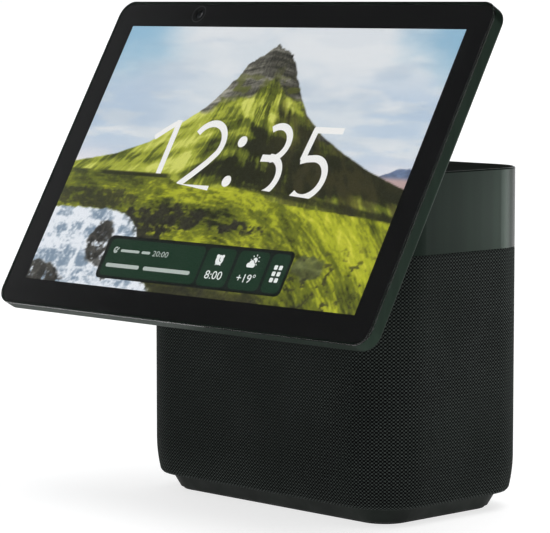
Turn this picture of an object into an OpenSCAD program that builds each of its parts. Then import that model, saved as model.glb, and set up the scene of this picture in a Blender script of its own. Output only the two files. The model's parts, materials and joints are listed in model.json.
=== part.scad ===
// Smart display: a loudspeaker body wrapped in cloth, with a touch screen
// that tilts on a friction hinge let into the body's top front edge.
// Millimetres. +Z is up, the screen faces -Y, and the origin is the middle of
// the footprint, on the surface that the object stands on.

/* [Body] */
// Width of the loudspeaker body, left to right
body_w = 166; // [162:1:190]
// Depth of the loudspeaker body, front to back
body_d = 99; // [99:1:120]
// Height of the loudspeaker body
body_h = 156.5; // [156:0.5:170]
// Radius of the body's upright corners
corner_r = 25; // [22:0.5:28]
// Height at which the cloth ends and the smooth band begins
cloth_top = 120.3; // [118:0.1:124]

/* [Screen] */
// Width of the cover glass
glass_w = 243.2; // [238:0.2:250]
// Height of the cover glass
glass_h = 162.4; // [161:0.2:168]
// Radius of the screen's corners
glass_r = 8; // [5:0.5:12]
// Width of the lit picture
picture_w = 217; // [210:1:220]
// Height of the lit picture
picture_h = 135.6; // [130:0.2:138]
// Thickness of the screen at its edge
screen_t = 7.8; // [7.8:0.1:9]

/* [Hinge] */
// Lean of the screen back from upright, in degrees
tilt = 30; // [0:1:55]
// Distance of the hinge axis behind the body's front face
axis_in = 8; // [8:0.5:10]
// Distance of the hinge axis below the body's top
axis_down = 14; // [13:0.5:15]
// Half width of the notch that the hinge sits in
notch_x = 36; // [34:1:40]

/* [Controls] */
// Radius of the round buttons in the top
button_r = 5.8; // [5:0.1:6.5]
// Distance between neighbouring buttons
button_pitch = 24; // [20:1:28]

/* [Hidden] */
$fn = 48;
e = 0.02; // overrun of a cutting tool, and overlap of joined pieces

// Skin and casing
foot_inset = 11; // foot's outline inside the body's, at the bottom
ledge_inset = 7.4; // and where the foot meets the cloth
foot_z = 0.8; // underside of the tray, above the rubber pad
floor_t = 2.6;
cloth_t = 0.8;
cloth_bottom = 8;
core_t = 2;
band_t = 2.2;
panel_t = 2;
rim = 1; // width of the band's edge around the top panel
curve_z = 25; // the cloth starts to curve in below this height
curve_r = 66; // radius of that curve

// Hinge
axis_y = -body_d / 2 + axis_in;
axis_z = body_h - axis_down;
axis_v = -5.6; // hinge axis in the screen's frame, up the screen
axis_n = -screen_t - 19; // and behind the glass
pin_r = 3;
barrel_r = 6.5;
barrel_x = notch_x - 5.1; // half length of the barrel
trough_r = 8;
trough_wall = 1.5;
trough_z0 = axis_z - trough_r - trough_wall;
trough_y1 = axis_y + trough_r + trough_wall;
disc_t = 0.8;
lug_x = notch_x + 0.3;
lug_t = 3.2;
nut_t = 3;

// Screen
glass_t = 1.1;
mask_t = 0.1;
shell_t = 1.2;
lcd_t = 1.5;
backlight_t = 1.4;
lens_u = -65;
lens_v = 74.6;
lens_r = 2.5;
shutter_travel = 10;
arm_screw_u = 25;
arm_screw_v = 11.3;

// Loudspeaker box
baffle_y = -body_d / 2 + 9; // front face of the baffle
baffle_t = 3;
gasket_t = 1;
box_x = body_w / 2 - 12; // half width
box_y0 = baffle_y + baffle_t + gasket_t;
box_y1 = 28;
box_z0 = 18;
box_z1 = 116;
box_t = 2.5;
woofer_z = 66;
tweeter_x = 51;
tweeter_z = 98;
radiator_y = -4;
radiator_z = 66;

// Electronics
board_y = 31;
board_t = 1.6;
inlet_z = 40;
port_w = 46;
port_h = 24;
port_in = 0.3; // how far the port panel lies behind the cloth
port_deep = 6.3; // depth of its recess, behind the cloth's surface

// Buttons
buttons_y = 10;
button_gap = 0.25;
button_x = [for (i = [-1.5:1.5]) i * button_pitch];

// ---------------------------------------------------------------- helpers

// Rounded rectangle, centred.
module rounded(w, d, r) {
    square([w - 2 * r, d], center = true);
    square([w, d - 2 * r], center = true);
    for (x = [-1, 1], y = [-1, 1])
        translate([x * (w / 2 - r), y * (d / 2 - r)]) circle(r);
}

// Upright prism on a rounded rectangle, from height z0 to z1.
module slab(w, d, r, z0, z1) {
    translate([0, 0, z0]) linear_extrude(z1 - z0) rounded(w, d, r);
}

// Sweeps its 2-D child around a rounded rectangle. The child's x is measured
// outward from the corner centres, and its y is the height.
module sweep(w, d, r) {
    for (a = [0, 90, 180, 270]) {
        across = (a == 0 || a == 180) ? w : d;
        along = (a == 0 || a == 180) ? d : w;
        rotate([0, 0, a]) translate([across / 2 - r, along / 2 - r, 0]) {
            rotate_extrude(angle = 90) children();
            rotate([90, 0, 0]) linear_extrude(along - 2 * r) children();
        }
    }
}

// Box given by its lowest and highest corner.
module block(low, high) {
    translate(low) cube(high - low);
}

// Cylinder along X between two x values.
module rod_x(r, x0, x1) {
    translate([x0, 0, 0]) rotate([0, 90, 0]) cylinder(r = r, h = x1 - x0);
}

// Flat ring standing on z = 0.
module washer(outer, inner, t) {
    difference() {
        cylinder(r = outer, h = t);
        translate([0, 0, -1]) cylinder(r = inner, h = t + 2);
    }
}

// Cross-head screw along -Z, its head's top at z = 0.
module screw(head_r, shank_r, length) {
    head_t = 1.2;
    difference() {
        union() {
            translate([0, 0, -head_t]) cylinder(r = head_r, h = head_t);
            translate([0, 0, -length]) cylinder(r = shank_r, h = length - head_t + e);
        }
        for (a = [0, 90])
            rotate([0, 0, a]) translate([0, 0, -0.25]) cube([head_r * 1.2, 0.4, 0.6], center = true);
    }
}

// Half roll of rubber from radius r0 to r1, its feet at height z.
module half_roll(r0, r1, z, t) {
    middle = (r0 + r1) / 2;
    outer = (r1 - r0) / 2;
    rotate_extrude() polygon(concat(
        [for (a = [0:15:180]) [middle + outer * cos(a), z + outer * sin(a)]],
        [for (a = [180:-15:0]) [middle + (outer - t) * cos(a), z + (outer - t) * sin(a)]]
    ));
}

// Places its children in the screen's frame: x to the right, y up the screen,
// z out of the glass, with the origin at the middle of the glass's front face.
module on_screen() {
    translate([0, axis_y, axis_z]) rotate([90 - tilt, 0, 0])
        translate([0, -axis_v, -axis_n]) children();
}

// Places its children on the baffle, with z pointing forward.
module on_baffle(x, z) {
    translate([x, baffle_y, z]) rotate([90, 0, 0]) children();
}

// Places its children on a side wall of the loudspeaker box, with z pointing
// out. side is -1 for left and 1 for right.
module on_side(side) {
    translate([side * box_x, radiator_y, radiator_z]) rotate([0, side * 90, 0]) children();
}

// How far the cloth's outline has curved in at height z.
function cloth_inset(z) = z < curve_z ? pow(curve_z - z, 2) / (2 * curve_r) : 0;

hem_z = cloth_bottom + 1.5; // below this the cloth turns under
curve_steps = [for (i = [0:6]) curve_z - i * (curve_z - hem_z) / 6];

// ---------------------------------------------------------- base and skins

base_screw_x = body_w / 2 - 30;
base_screw_y = body_d / 2 - 30;

module foot_pad() color("#1c1d1c") {
    difference() {
        slab(body_w - 26, body_d - 26, corner_r - 13, 0, foot_z);
        slab(body_w - 44, body_d - 44, 4, -e, foot_z + e);
    }
}

// Tapered foot, its floor, and a hidden wall that the cloth's core clips to.
module base_tray() color("#1d221e") {
    top_z = foot_z + floor_t;
    difference() {
        union() {
            sweep(body_w, body_d, corner_r) polygon([
                [0, foot_z], [corner_r - foot_inset - 1.2, foot_z],
                [corner_r - foot_inset - 0.4, foot_z + 0.3], [corner_r - foot_inset, foot_z + 1],
                [corner_r - ledge_inset, cloth_bottom], [corner_r - 5.2, cloth_bottom],
                [corner_r - 5.2, box_z0 - 0.5], [corner_r - ledge_inset, box_z0 - 0.5],
                [corner_r - ledge_inset, cloth_bottom + 2], [corner_r - foot_inset - 2.4, top_z],
                [0, top_z]
            ]);
            block([-body_w / 2 + corner_r, -body_d / 2 + corner_r, foot_z],
                [body_w / 2 - corner_r, body_d / 2 - corner_r, top_z]);
        }
        for (x = [-1, 1], y = [-1, 1])
            translate([x * base_screw_x, y * base_screw_y, 0]) {
                cylinder(r = 3.1, h = 2.2);
                cylinder(r = 1.6, h = 4);
            }
    }
}

module base_screws() color("#7d8083") {
    for (x = [-1, 1], y = [-1, 1])
        translate([x * base_screw_x, y * base_screw_y, 1]) rotate([180, 0, 0]) screw(3, 1.5, 12);
}

// Perforated tube that carries the cloth, with a clip ring at its foot.
module grille_core() color("#191b1a") {
    outer = corner_r - cloth_t;
    hem = outer - cloth_inset(hem_z);
    difference() {
        sweep(body_w, body_d, corner_r) polygon(concat(
            [[outer, cloth_top]],
            [for (z = curve_steps) [outer - cloth_inset(z), z]],
            [[corner_r - 5.15, hem_z], [corner_r - 5.15, hem_z + 1.5],
                [hem - core_t, hem_z + 1.5]],
            [for (i = [5:-1:0]) [outer - core_t - cloth_inset(curve_steps[i]), curve_steps[i]]],
            [[outer - core_t, cloth_top]]
        ));
        for (x = [-5:5], z = [0:5])
            block([x * 12 - 4, -body_d / 2 - 1, 30 + z * 15], [x * 12 + 4, -body_d / 2 + 5, 35 + z * 15]);
        for (y = [-2:2], z = [0:5])
            block([-body_w / 2 - 1, y * 9 - 3, 36 + z * 12], [body_w / 2 + 1, y * 9 + 3, 41 + z * 12]);
        rear_port_cut(0.3);
    }
}

// One sleeve of cloth, turned in under the lower edge of the core.
module fabric_cover() color("#262b29") {
    hem = corner_r - cloth_inset(cloth_bottom);
    difference() {
        sweep(body_w, body_d, corner_r) polygon(concat(
            [[corner_r, cloth_top]],
            [for (z = curve_steps) [corner_r - cloth_inset(z), z]],
            [
                [hem - 0.6, cloth_bottom + 0.3], [hem - 1.4, cloth_bottom],
                [corner_r - 5.15, cloth_bottom], [corner_r - 5.15, cloth_bottom + cloth_t],
                [corner_r - cloth_t - cloth_inset(hem_z) - 0.5, hem_z]
            ],
            [for (i = [6:-1:0]) [corner_r - cloth_t - cloth_inset(curve_steps[i]), curve_steps[i]]],
            [[corner_r - cloth_t, cloth_top]]
        ));
        rear_port_cut(0.15);
    }
}

// Opening for the rear port panel, wider than the panel by gap on each side.
module rear_port_cut(gap) {
    translate([0, body_d / 2 + 2, inlet_z]) rotate([90, 0, 0])
        linear_extrude(8) rounded(port_w + 2 * gap, port_h + 2 * gap, 6 + gap);
}

// Port panel with a round recess for the power plug and a reset hole.
module rear_port_panel() color("#1b1e1c") {
    difference() {
        union() {
            translate([0, body_d / 2 - port_in, inlet_z]) rotate([90, 0, 0])
                linear_extrude(3) rounded(port_w, port_h, 6);
            translate([0, body_d / 2 - 1, inlet_z]) rotate([90, 0, 0]) cylinder(r = 8, h = port_deep - 1);
        }
        translate([0, body_d / 2 + 1, inlet_z]) rotate([90, 0, 0]) cylinder(r = 6, h = port_deep + 2);
        translate([15, body_d / 2 + 1, inlet_z]) rotate([90, 0, 0]) cylinder(r = 0.8, h = port_deep);
    }
}

// Smooth band around the top, with a ledge for the top panel, a spigot that
// drops inside the core, and the notch for the hinge.
module top_band() color("#46524a") {
    spigot = corner_r - cloth_t - core_t - 0.1;
    inner = corner_r - band_t;
    difference() {
        sweep(body_w, body_d, corner_r) polygon([
            [corner_r, cloth_top], [corner_r, body_h - 0.6], [corner_r - 0.2, body_h - 0.2],
            [corner_r - 0.6, body_h], [corner_r - rim, body_h], [corner_r - rim, body_h - panel_t],
            [inner - 1.5, body_h - panel_t], [inner - 1.5, body_h - panel_t - 1.2],
            [inner, body_h - panel_t - 2.7], [inner, cloth_top + 2.6], [spigot - 2, cloth_top],
            [spigot - 2, cloth_top - 2.5], [spigot, cloth_top - 2.5], [spigot, cloth_top]
        ]);
        block([-notch_x, -body_d / 2 - 1, trough_z0], [notch_x, trough_y1, body_h + 1]);
    }
}

// Black top, flush with the band, with holes for the buttons and microphones.
module top_panel() color("#151617") {
    margin = rim + 0.05;
    difference() {
        slab(body_w - 2 * margin, body_d - 2 * margin, corner_r - margin, body_h - panel_t, body_h);
        block([-notch_x, -body_d / 2, body_h - panel_t - 1], [notch_x, trough_y1, body_h + 1]);
        for (x = button_x)
            translate([x, buttons_y, body_h - panel_t - 1]) cylinder(r = button_r + button_gap, h = panel_t + 2);
        for (x = [-1, 1], y = [-22, 34])
            translate([x * 62, y, body_h - panel_t - 1]) cylinder(r = 0.6, h = panel_t + 2, $fn = 24);
    }
}

// ------------------------------------------------------------------- hinge

// Lining of the notch: a trough around the barrel with a cheek at each end.
module hinge_cover() color("#161817") {
    difference() {
        block([-notch_x, -body_d / 2, trough_z0], [notch_x, trough_y1, body_h]);
        translate([0, axis_y, axis_z]) {
            rod_x(trough_r, -notch_x + trough_wall, notch_x - trough_wall);
            rod_x(pin_r + 0.2, -notch_x - 1, notch_x + 1);
        }
        for (low = [[-axis_in - 1, -trough_r], [-axis_in - 1, 0]])
            block([-notch_x + trough_wall, axis_y + low[0], axis_z + low[1]],
                [notch_x - trough_wall, axis_y + (low[1] < 0 ? 0 : trough_r), body_h + 1]);
    }
}

bracket_y = trough_y1 + 0.4;
bracket_t = 2;
bracket_screw_x = [-28, 28];
bracket_screw_y = bracket_y + 10;

// Pressed steel bracket on the box's roof: an ear at each end of the notch.
module hinge_bracket() color("#8c9092") {
    foot_y = bracket_y + 16;
    difference() {
        union() {
            for (s = [-1, 1])
                block([s > 0 ? lug_x : -lug_x - lug_t, axis_y - 5, axis_z - 9.5],
                    [s > 0 ? lug_x + lug_t : -lug_x, bracket_y + bracket_t, axis_z + 6]);
            block([-lug_x - lug_t, bracket_y, box_z1], [lug_x + lug_t, bracket_y + bracket_t, axis_z + 6]);
            block([-lug_x - lug_t, bracket_y, box_z1], [lug_x + lug_t, foot_y, box_z1 + bracket_t]);
            for (x = [-lug_x - lug_t, lug_x + lug_t - bracket_t])
                block([x, bracket_y, box_z1], [x + bracket_t, bracket_y + 9, axis_z - 6]);
        }
        translate([0, axis_y, axis_z]) rod_x(pin_r + 0.03, -lug_x - lug_t - 1, lug_x + lug_t + 1);
        block([-14, bracket_y - 1, axis_z - 16], [14, bracket_y + 3, axis_z - 8]);
        for (x = bracket_screw_x)
            translate([x, bracket_screw_y, box_z1 - 1]) cylinder(r = 1.6, h = 4, $fn = 24);
    }
}

module bracket_screws() color("#7d8083") {
    for (x = bracket_screw_x)
        translate([x, bracket_screw_y, box_z1 + bracket_t + 1.2]) screw(2.8, 1.5, 10);
}

module hinge_pin() color("#b9bcbe") {
    end = lug_x + lug_t + nut_t + 1;
    translate([0, axis_y, axis_z]) rod_x(pin_r, -end, end);
}

module hinge_nuts() color("#a4a7a9") {
    for (x = [lug_x + lug_t, -lug_x - lug_t - nut_t])
        translate([x, axis_y, axis_z]) rotate([0, 90, 0]) difference() {
            cylinder(r = 5.2, h = nut_t, $fn = 6);
            translate([0, 0, -1]) cylinder(r = pin_r + 0.03, h = nut_t + 2);
        }
}

// Friction discs that clamp the barrel between the cheeks.
module hinge_discs() color("#c2a25a") {
    pitch = disc_t + 0.3;
    for (s = [0, 1], i = [0:2])
        mirror([s, 0, 0]) translate([barrel_x + 0.3 + i * pitch, axis_y, axis_z])
            rotate([0, 90, 0]) washer(6, pin_r + 0.05, disc_t);
}

// Barrel, neck and flange, cast in one piece and fixed to the screen's back.
module hinge_arm() color("#2b302d") {
    neck_x = barrel_x - 3;
    on_screen() difference() {
        union() {
            translate([0, axis_v, axis_n]) rod_x(barrel_r, -barrel_x, barrel_x);
            translate([-neck_x, 0, 0]) rotate([90, 0, 90]) linear_extrude(2 * neck_x) polygon([
                [axis_v - 4, axis_n], [axis_v + 4, axis_n], [axis_v + 4.6, axis_n + 10],
                [axis_v + 8, -screen_t - 1.8], [axis_v - 8, -screen_t - 1.8], [axis_v - 4.6, axis_n + 10]
            ]);
            translate([0, axis_v, 0]) slab(2 * barrel_x, 28, 5, -screen_t - 2, -screen_t);
        }
        translate([0, axis_v, axis_n]) rod_x(pin_r + 0.05, -barrel_x - 1, barrel_x + 1);
        block([-9, axis_v - 2, axis_n + 7], [9, axis_v + 2, -screen_t + 1]);
        arm_screw_holes();
    }
}

module arm_screw_holes() {
    for (x = [-1, 1], y = [-1, 1])
        translate([x * arm_screw_u, axis_v + y * arm_screw_v, -screen_t - 3]) cylinder(r = 1.3, h = 4.4);
}

module arm_screws() color("#6f7275") {
    on_screen() for (x = [-1, 1], y = [-1, 1])
        translate([x * arm_screw_u, axis_v + y * arm_screw_v, -screen_t - 3.2])
            rotate([180, 0, 0]) screw(2.2, 1.2, 4.3);
}

// Plug that closes the mouth of the cable slot in the neck.
module arm_cover() color("#222624") {
    on_screen() block([-8.8, axis_v - 1.8, axis_n + 7.2], [8.8, axis_v + 1.8, axis_n + 9.2]);
}

// ------------------------------------------------------------- loudspeaker

baffle_screw_at = [for (x = [-1, 1], z = [24, 66, 110]) [x * (box_x - 5), z]];

module front_baffle() color("#202321") {
    difference() {
        translate([0, baffle_y, (box_z0 + box_z1) / 2]) rotate([-90, 0, 0])
            linear_extrude(baffle_t) rounded(2 * box_x, box_z1 - box_z0, 4);
        on_baffle(0, woofer_z) translate([0, 0, -baffle_t - 1]) cylinder(r = 37.5, h = baffle_t + 2);
        for (x = [-1, 1])
            on_baffle(x * tweeter_x, tweeter_z) translate([0, 0, -baffle_t - 1]) cylinder(r = 12.6, h = baffle_t + 2);
        for (p = baffle_screw_at)
            on_baffle(p[0], p[1]) translate([0, 0, -baffle_t - 1]) cylinder(r = 1.35, h = baffle_t + 2, $fn = 24);
    }
}

module baffle_gasket() color("#0e0f0f") {
    y0 = baffle_y + baffle_t;
    difference() {
        block([-box_x + 0.3, y0, box_z0 + 0.3], [box_x - 0.3, y0 + gasket_t, box_z1 - 0.3]);
        block([-box_x + box_t - 0.1, y0 - 1, box_z0 + box_t - 0.1],
            [box_x - box_t + 0.1, y0 + gasket_t + 1, box_z1 - box_t + 0.1]);
    }
}

module baffle_screws() color("#6f7275") {
    for (p = baffle_screw_at)
        on_baffle(p[0], p[1]) translate([0, 0, 1.2]) screw(2.4, 1.25, 8);
}

post_at = [for (x = [-57, -17, 17, 57], z = [27, 49]) [x, z], [-57, 63], [57, 63], [-57, 109], [57, 109]];

// Sealed rear half of the loudspeaker box. A hole in each side takes a
// passive radiator, and posts carry the boards and reach down to the tray.
module rear_enclosure() color("#1a1c1b") {
    difference() {
        block([-box_x, box_y0, box_z0], [box_x, box_y1, box_z1]);
        block([-box_x + box_t, box_y0 - 1, box_z0 + box_t], [box_x - box_t, box_y1 - box_t, box_z1 - box_t]);
        for (s = [-1, 1])
            on_side(s) translate([0, 0, -box_t - 1]) cylinder(r = 25, h = box_t + 2);
        for (x = bracket_screw_x)
            translate([x, bracket_screw_y, box_z1 - 4]) cylinder(r = 1.5, h = 5, $fn = 24);
    }
    for (p = baffle_screw_at)
        translate([p[0], box_y0, p[1]]) rotate([-90, 0, 0]) washer(3, 1.35, 8);
    for (p = post_at)
        translate([p[0], box_y1 - e, p[1]]) rotate([-90, 0, 0]) cylinder(r = 2.5, h = board_y - box_y1 + e);
    for (x = [-1, 1], y = [-1, 1])
        translate([x * base_screw_x, y * base_screw_y, foot_z + floor_t]) difference() {
            cylinder(r = 4, h = box_z0 - foot_z - floor_t + e);
            translate([0, 0, -1]) cylinder(r = 1.5, h = 11);
        }
    for (x = bracket_screw_x)
        translate([x, bracket_screw_y, box_z1 - box_t + e]) rotate([180, 0, 0]) washer(3.5, 1.5, 6.5);
}

// Steel basket of the woofer: a flange, a cone with four windows, and a seat.
module woofer_basket() color("#3a3d3f") {
    on_baffle(0, woofer_z) difference() {
        rotate_extrude() polygon([
            [35, 1.4], [43, 1.4], [43, 0], [36.8, 0], [36.8, -3.2], [26, -19], [12, -19], [12, -17.6],
            [25.2, -17.6], [35, -3]
        ]);
        for (a = [45:90:315])
            rotate([0, 0, a]) translate([29, 0, -10]) cube([14, 20, 8], center = true);
    }
}

module woofer_top_plate() color("#8f9395") {
    on_baffle(0, woofer_z) translate([0, 0, -22]) washer(25, 9.8, 3);
}

module woofer_magnet() color("#2f3133") {
    on_baffle(0, woofer_z) translate([0, 0, -34]) washer(27, 12, 12);
}

// Back plate and pole piece, turned in one piece.
module woofer_yoke() color("#7f8385") {
    on_baffle(0, woofer_z) {
        translate([0, 0, -37.5]) cylinder(r = 26, h = 3.5);
        translate([0, 0, -34 - e]) cylinder(r = 7.4, h = 15);
    }
}

module woofer_voice_coil() color("#b5713a") {
    on_baffle(0, woofer_z) translate([0, 0, -27]) washer(9, 8.2, 13);
}

// Corrugated centring disc between the coil and the basket's seat.
module woofer_spider() color("#b59a58") {
    wave = [for (i = [0:12]) [9.1 + i * 1.15, -16.6 - 0.5 * cos(i * 180)]];
    on_baffle(0, woofer_z) rotate_extrude() polygon(concat(
        [for (i = [0:12]) wave[i] + [0, 0.25]],
        [for (i = [12:-1:0]) wave[i] - [0, 0.25]]
    ));
}

// Cone with its dust cap.
module woofer_cone() color("#242628") {
    on_baffle(0, woofer_z) {
        rotate_extrude() polygon([
            [8.2, -14], [9.4, -14], [18, -8.6], [30, -1.6], [30.3, -1.6], [30.3, -0.8], [29.6, -0.8],
            [17.4, -7.7], [9.4, -12.8], [8.2, -13.4]
        ]);
        rotate_extrude() polygon(concat(
            [for (a = [0:10:90]) [11.5 * sin(a), -11.6 + 4.2 * cos(a)]],
            [for (a = [90:-10:0]) [10.4 * sin(a), -12.3 + 4.2 * cos(a)]]
        ));
    }
}

module woofer_surround() color("#141515") {
    on_baffle(0, woofer_z) half_roll(30.35, 34.95, -0.8, 0.7);
}

// A dome tweeter: faceplate, dome and magnet pot, sold as one sealed unit.
module tweeter(side) {
    on_baffle(side * tweeter_x, tweeter_z) {
        color("#2d3032") washer(15.5, 7.6, 1.6);
        color("#c9ccce") intersection() {
            translate([0, 0, -6.5]) sphere(r = 9.9);
            translate([0, 0, -e]) cylinder(r = 7.4, h = 8);
        }
        color("#3a3d3f") translate([0, 0, -11]) cylinder(r = 12, h = 11 + e);
    }
}

module tweeter_left() tweeter(-1);
module tweeter_right() tweeter(1);

module passive_frame(side) color("#303335") {
    on_side(side) difference() {
        washer(31, 24.6, 1.6);
        for (a = [0:60:300])
            rotate([0, 0, a]) translate([28, 0, -1]) cylinder(r = 1.2, h = 4, $fn = 24);
    }
}

module passive_surround(side) color("#141515") {
    on_side(side) half_roll(20.05, 24.55, 0.8, 0.7);
}

// Flat piston of a passive radiator, weighted in the middle.
module passive_cone(side) color("#242628") {
    on_side(side) rotate_extrude() polygon([
        [0, -2.4], [9, -2.4], [12, -0.6], [20, -0.6], [20, 1], [11, 1], [8, -0.4], [0, -0.4]
    ]);
}

module passive_frame_left() passive_frame(-1);
module passive_frame_right() passive_frame(1);
module passive_surround_left() passive_surround(-1);
module passive_surround_right() passive_surround(1);
module passive_cone_left() passive_cone(-1);
module passive_cone_right() passive_cone(1);

// ------------------------------------------------------------- electronics

// Upright circuit board, low and high being its corners as [x, z]. Each part
// that stands off its back face is [x, z, width, height, depth].
module circuit_board(low, high, parts) {
    back = board_y + board_t;
    color("#1f5a3c") block([low[0], board_y, low[1]], [high[0], back, high[1]]);
    color("#1a1b1c") for (p = parts)
        block([p[0] - p[2] / 2, back - e, p[1] - p[3] / 2], [p[0] + p[2] / 2, back + p[4], p[1] + p[3] / 2]);
}

cpu_t = 1.4;

module main_board() {
    circuit_board([-62, 58], [62, 114], [
        [0, 88, 16, 16, cpu_t], [-30, 96, 10, 13, 1], [30, 96, 10, 13, 1], [-44, 78, 14, 10, 2],
        [44, 74, 8, 8, 1], [50, 100, 12, 9, 2.2], [-50, 104, 9, 5, 3], [0, 110, 22, 3.6, 2.4]
    ]);
}

// Finned heat spreader on the processor.
module heat_sink() color("#a9acae") {
    base_y = board_y + board_t + cpu_t;
    plate_t = 1.8;
    fins_to = base_y + 10;
    block([-22, base_y, 70], [22, base_y + plate_t, 105]);
    for (x = [-21:5:19])
        block([x, base_y + plate_t - e, 70], [x + 1.4, fins_to, 105]);
}

module amplifier_board() {
    circuit_board([-62, 22], [-12, 54], [
        [-48, 44, 9, 9, 7], [-34, 44, 9, 9, 7], [-20, 46, 7, 7, 1.2], [-50, 29, 10, 7, 3],
        [-34, 29, 12, 5, 1], [-20, 29, 6, 8, 5]
    ]);
}

module power_board() {
    circuit_board([-9, 22], [62, 54], [
        [22, 44, 8, 10, 9], [36, 43, 12, 12, 8], [52, 43, 9, 14, 9], [26, 28, 14, 5, 2], [48, 28, 12, 6, 6]
    ]);
}

// Barrel socket with a centre pin, on the power board behind the recess.
module power_inlet() color("#101112") {
    back = board_y + board_t;
    front = body_d / 2 - port_deep;
    difference() {
        block([-7, back, inlet_z - 5.5], [7, front, inlet_z + 5.5]);
        translate([0, front + 1, inlet_z]) rotate([90, 0, 0]) cylinder(r = 2.9, h = 10);
    }
    translate([0, front - 0.8, inlet_z]) rotate([90, 0, 0]) cylinder(r = 1, h = 8.3);
}

// Board under the top panel, with one switch below each button.
module button_board() {
    board_z = body_h - 8;
    color("#1f5a3c") block([-52, buttons_y - 12, board_z], [52, buttons_y + 12, board_z + 1.4]);
    color("#d8d9da") for (x = button_x)
        block([x - 3, buttons_y - 3, board_z + 1.4 - e], [x + 3, buttons_y + 3, board_z + 2.1]);
}

// Antenna strip on the inside of the band. side is -1 for left, 1 for right.
module antenna(side) color("#c98b4a") {
    wall_x = body_w / 2 - band_t;
    mirror([side < 0 ? 1 : 0, 0, 0]) block([wall_x - 1, -20, 124], [wall_x, 20, 148]);
}

module antenna_left() antenna(-1);
module antenna_right() antenna(1);

// Flat cable from the main board's top connector up and forward to the hinge.
module display_cable() color("#d9d4c4") {
    top = axis_z - 12;
    back = board_y - 1;
    ribbon_t = 0.6;
    block([-7, back - ribbon_t, 104], [7, back, top]);
    block([-7, bracket_y - 0.2, top - ribbon_t], [7, back, top]);
}

// ----------------------------------------------------------------- buttons

// Round button with a retaining rim and a stem. mark is 0 for plain, 1 for a
// minus sign, 2 for a plus sign and 3 for a ring.
module top_button(index, mark) color("#232625") {
    top = body_h + 0.35;
    translate([button_x[index], buttons_y, 0]) difference() {
        union() {
            translate([0, 0, body_h - 2.4]) cylinder(r = button_r, h = 2.5);
            translate([0, 0, body_h + 0.1 - e]) cylinder(r = button_r - 0.25, h = 0.25 + e);
            translate([0, 0, body_h - 3.1]) cylinder(r = button_r + 0.8, h = 0.8);
            translate([0, 0, body_h - 4.6]) cylinder(r = 1.5, h = 1.6);
        }
        if (mark == 1 || mark == 2) translate([0, 0, top]) cube([4.6, 0.7, 0.5], center = true);
        if (mark == 2) translate([0, 0, top]) cube([0.7, 4.6, 0.5], center = true);
        if (mark == 3) translate([0, 0, top - 0.25]) washer(2.6, 1.9, 1);
    }
}

module volume_down_button() top_button(0, 1);
module action_button() top_button(1, 3);
module mic_mute_button() top_button(2, 0);
module volume_up_button() top_button(3, 2);

// ------------------------------------------------------------------ screen

lcd_v = -1.2; // middle of the panel, below the middle of the picture
shutter_u = lens_u + shutter_travel; // middle of the blade when it is open

// Metal tray of the screen, with a slot in its top edge for the shutter's tab.
module display_shell() color("#46524a") {
    back = -screen_t;
    inner = glass_r - shell_t;
    on_screen() difference() {
        union() {
            sweep(glass_w, glass_h, glass_r) polygon([
                [glass_r, -glass_t], [glass_r, back + 1.6], [glass_r - 0.12, back + 1],
                [glass_r - 0.47, back + 0.47], [glass_r - 1, back + 0.12], [glass_r - 1.6, back],
                [0, back], [0, back + shell_t], [inner - 1, back + shell_t], [inner, back + shell_t + 1],
                [inner, -glass_t]
            ]);
            block([-glass_w / 2 + glass_r, -glass_h / 2 + glass_r, back],
                [glass_w / 2 - glass_r, glass_h / 2 - glass_r, back + shell_t]);
        }
        block([lens_u - 3.8, glass_h / 2 - 2, -4.5], [shutter_u + 3.8, glass_h / 2 + 1, -2.3]);
        block([-9, axis_v - 2, back - 1], [9, axis_v + 2, back + 3]);
        arm_screw_holes();
    }
}

// Sheet of glass to the very edge, its front edge eased all round.
module cover_glass() color("#0c0d0e") {
    on_screen() {
        sweep(glass_w, glass_h, glass_r) polygon([
            [0, -glass_t], [glass_r, -glass_t], [glass_r, -0.45], [glass_r - 0.13, -0.13],
            [glass_r - 0.45, 0], [0, 0]
        ]);
        block([-glass_w / 2 + glass_r, -glass_h / 2 + glass_r, -glass_t],
            [glass_w / 2 - glass_r, glass_h / 2 - glass_r, 0]);
    }
}

// Black print behind the glass, open over the picture and the camera.
module bezel_mask() color("#0a0a0b") {
    back = -glass_t - mask_t;
    margin = shell_t + 0.1;
    on_screen() difference() {
        slab(glass_w - 2 * margin, glass_h - 2 * margin, glass_r - margin, back, -glass_t);
        block([-picture_w / 2, -picture_h / 2, back - 1], [picture_w / 2, picture_h / 2, 0]);
        translate([lens_u, lens_v, back - 1]) cylinder(r = lens_r, h = 2);
    }
}

module lcd_panel() color("#7fa0b8") {
    on_screen() translate([0, lcd_v, 0])
        slab(picture_w + 7, picture_h + 5, 1, -glass_t - mask_t - lcd_t, -glass_t - mask_t);
}

module backlight_unit() color("#e9ebec") {
    front = -glass_t - mask_t - lcd_t;
    on_screen() translate([0, lcd_v, 0]) slab(picture_w + 7, picture_h + 5, 1, front - backlight_t, front);
}

// Stiffening plate with lightening holes, between the backlight and the board.
module display_midframe() color("#9da1a3") {
    front = -glass_t - mask_t - lcd_t - backlight_t;
    on_screen() difference() {
        translate([0, lcd_v, 0]) slab(picture_w + 12, picture_h + 5, 2, front - 0.5, front);
        for (x = [-1, 1], y = [-1, 1])
            translate([x * 78, y * 36, front - 2]) cylinder(r = 12, h = 4);
    }
}

module display_board() on_screen() {
    color("#1f5a3c") block([-66, 22, -5.4], [66, 62, -4.65]);
    color("#1a1b1c") for (p = [[-44, 42, 12], [-18, 46, 9], [14, 40, 14], [44, 48, 8]])
        block([p[0] - p[2] / 2, p[1] - p[2] / 2, -6.4], [p[0] + p[2] / 2, p[1] + p[2] / 2, -5.4 + e]);
    color("#d9d4c4") block([-8, -4, -5.1], [8, 22 + e, -4.65]);
}

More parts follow.
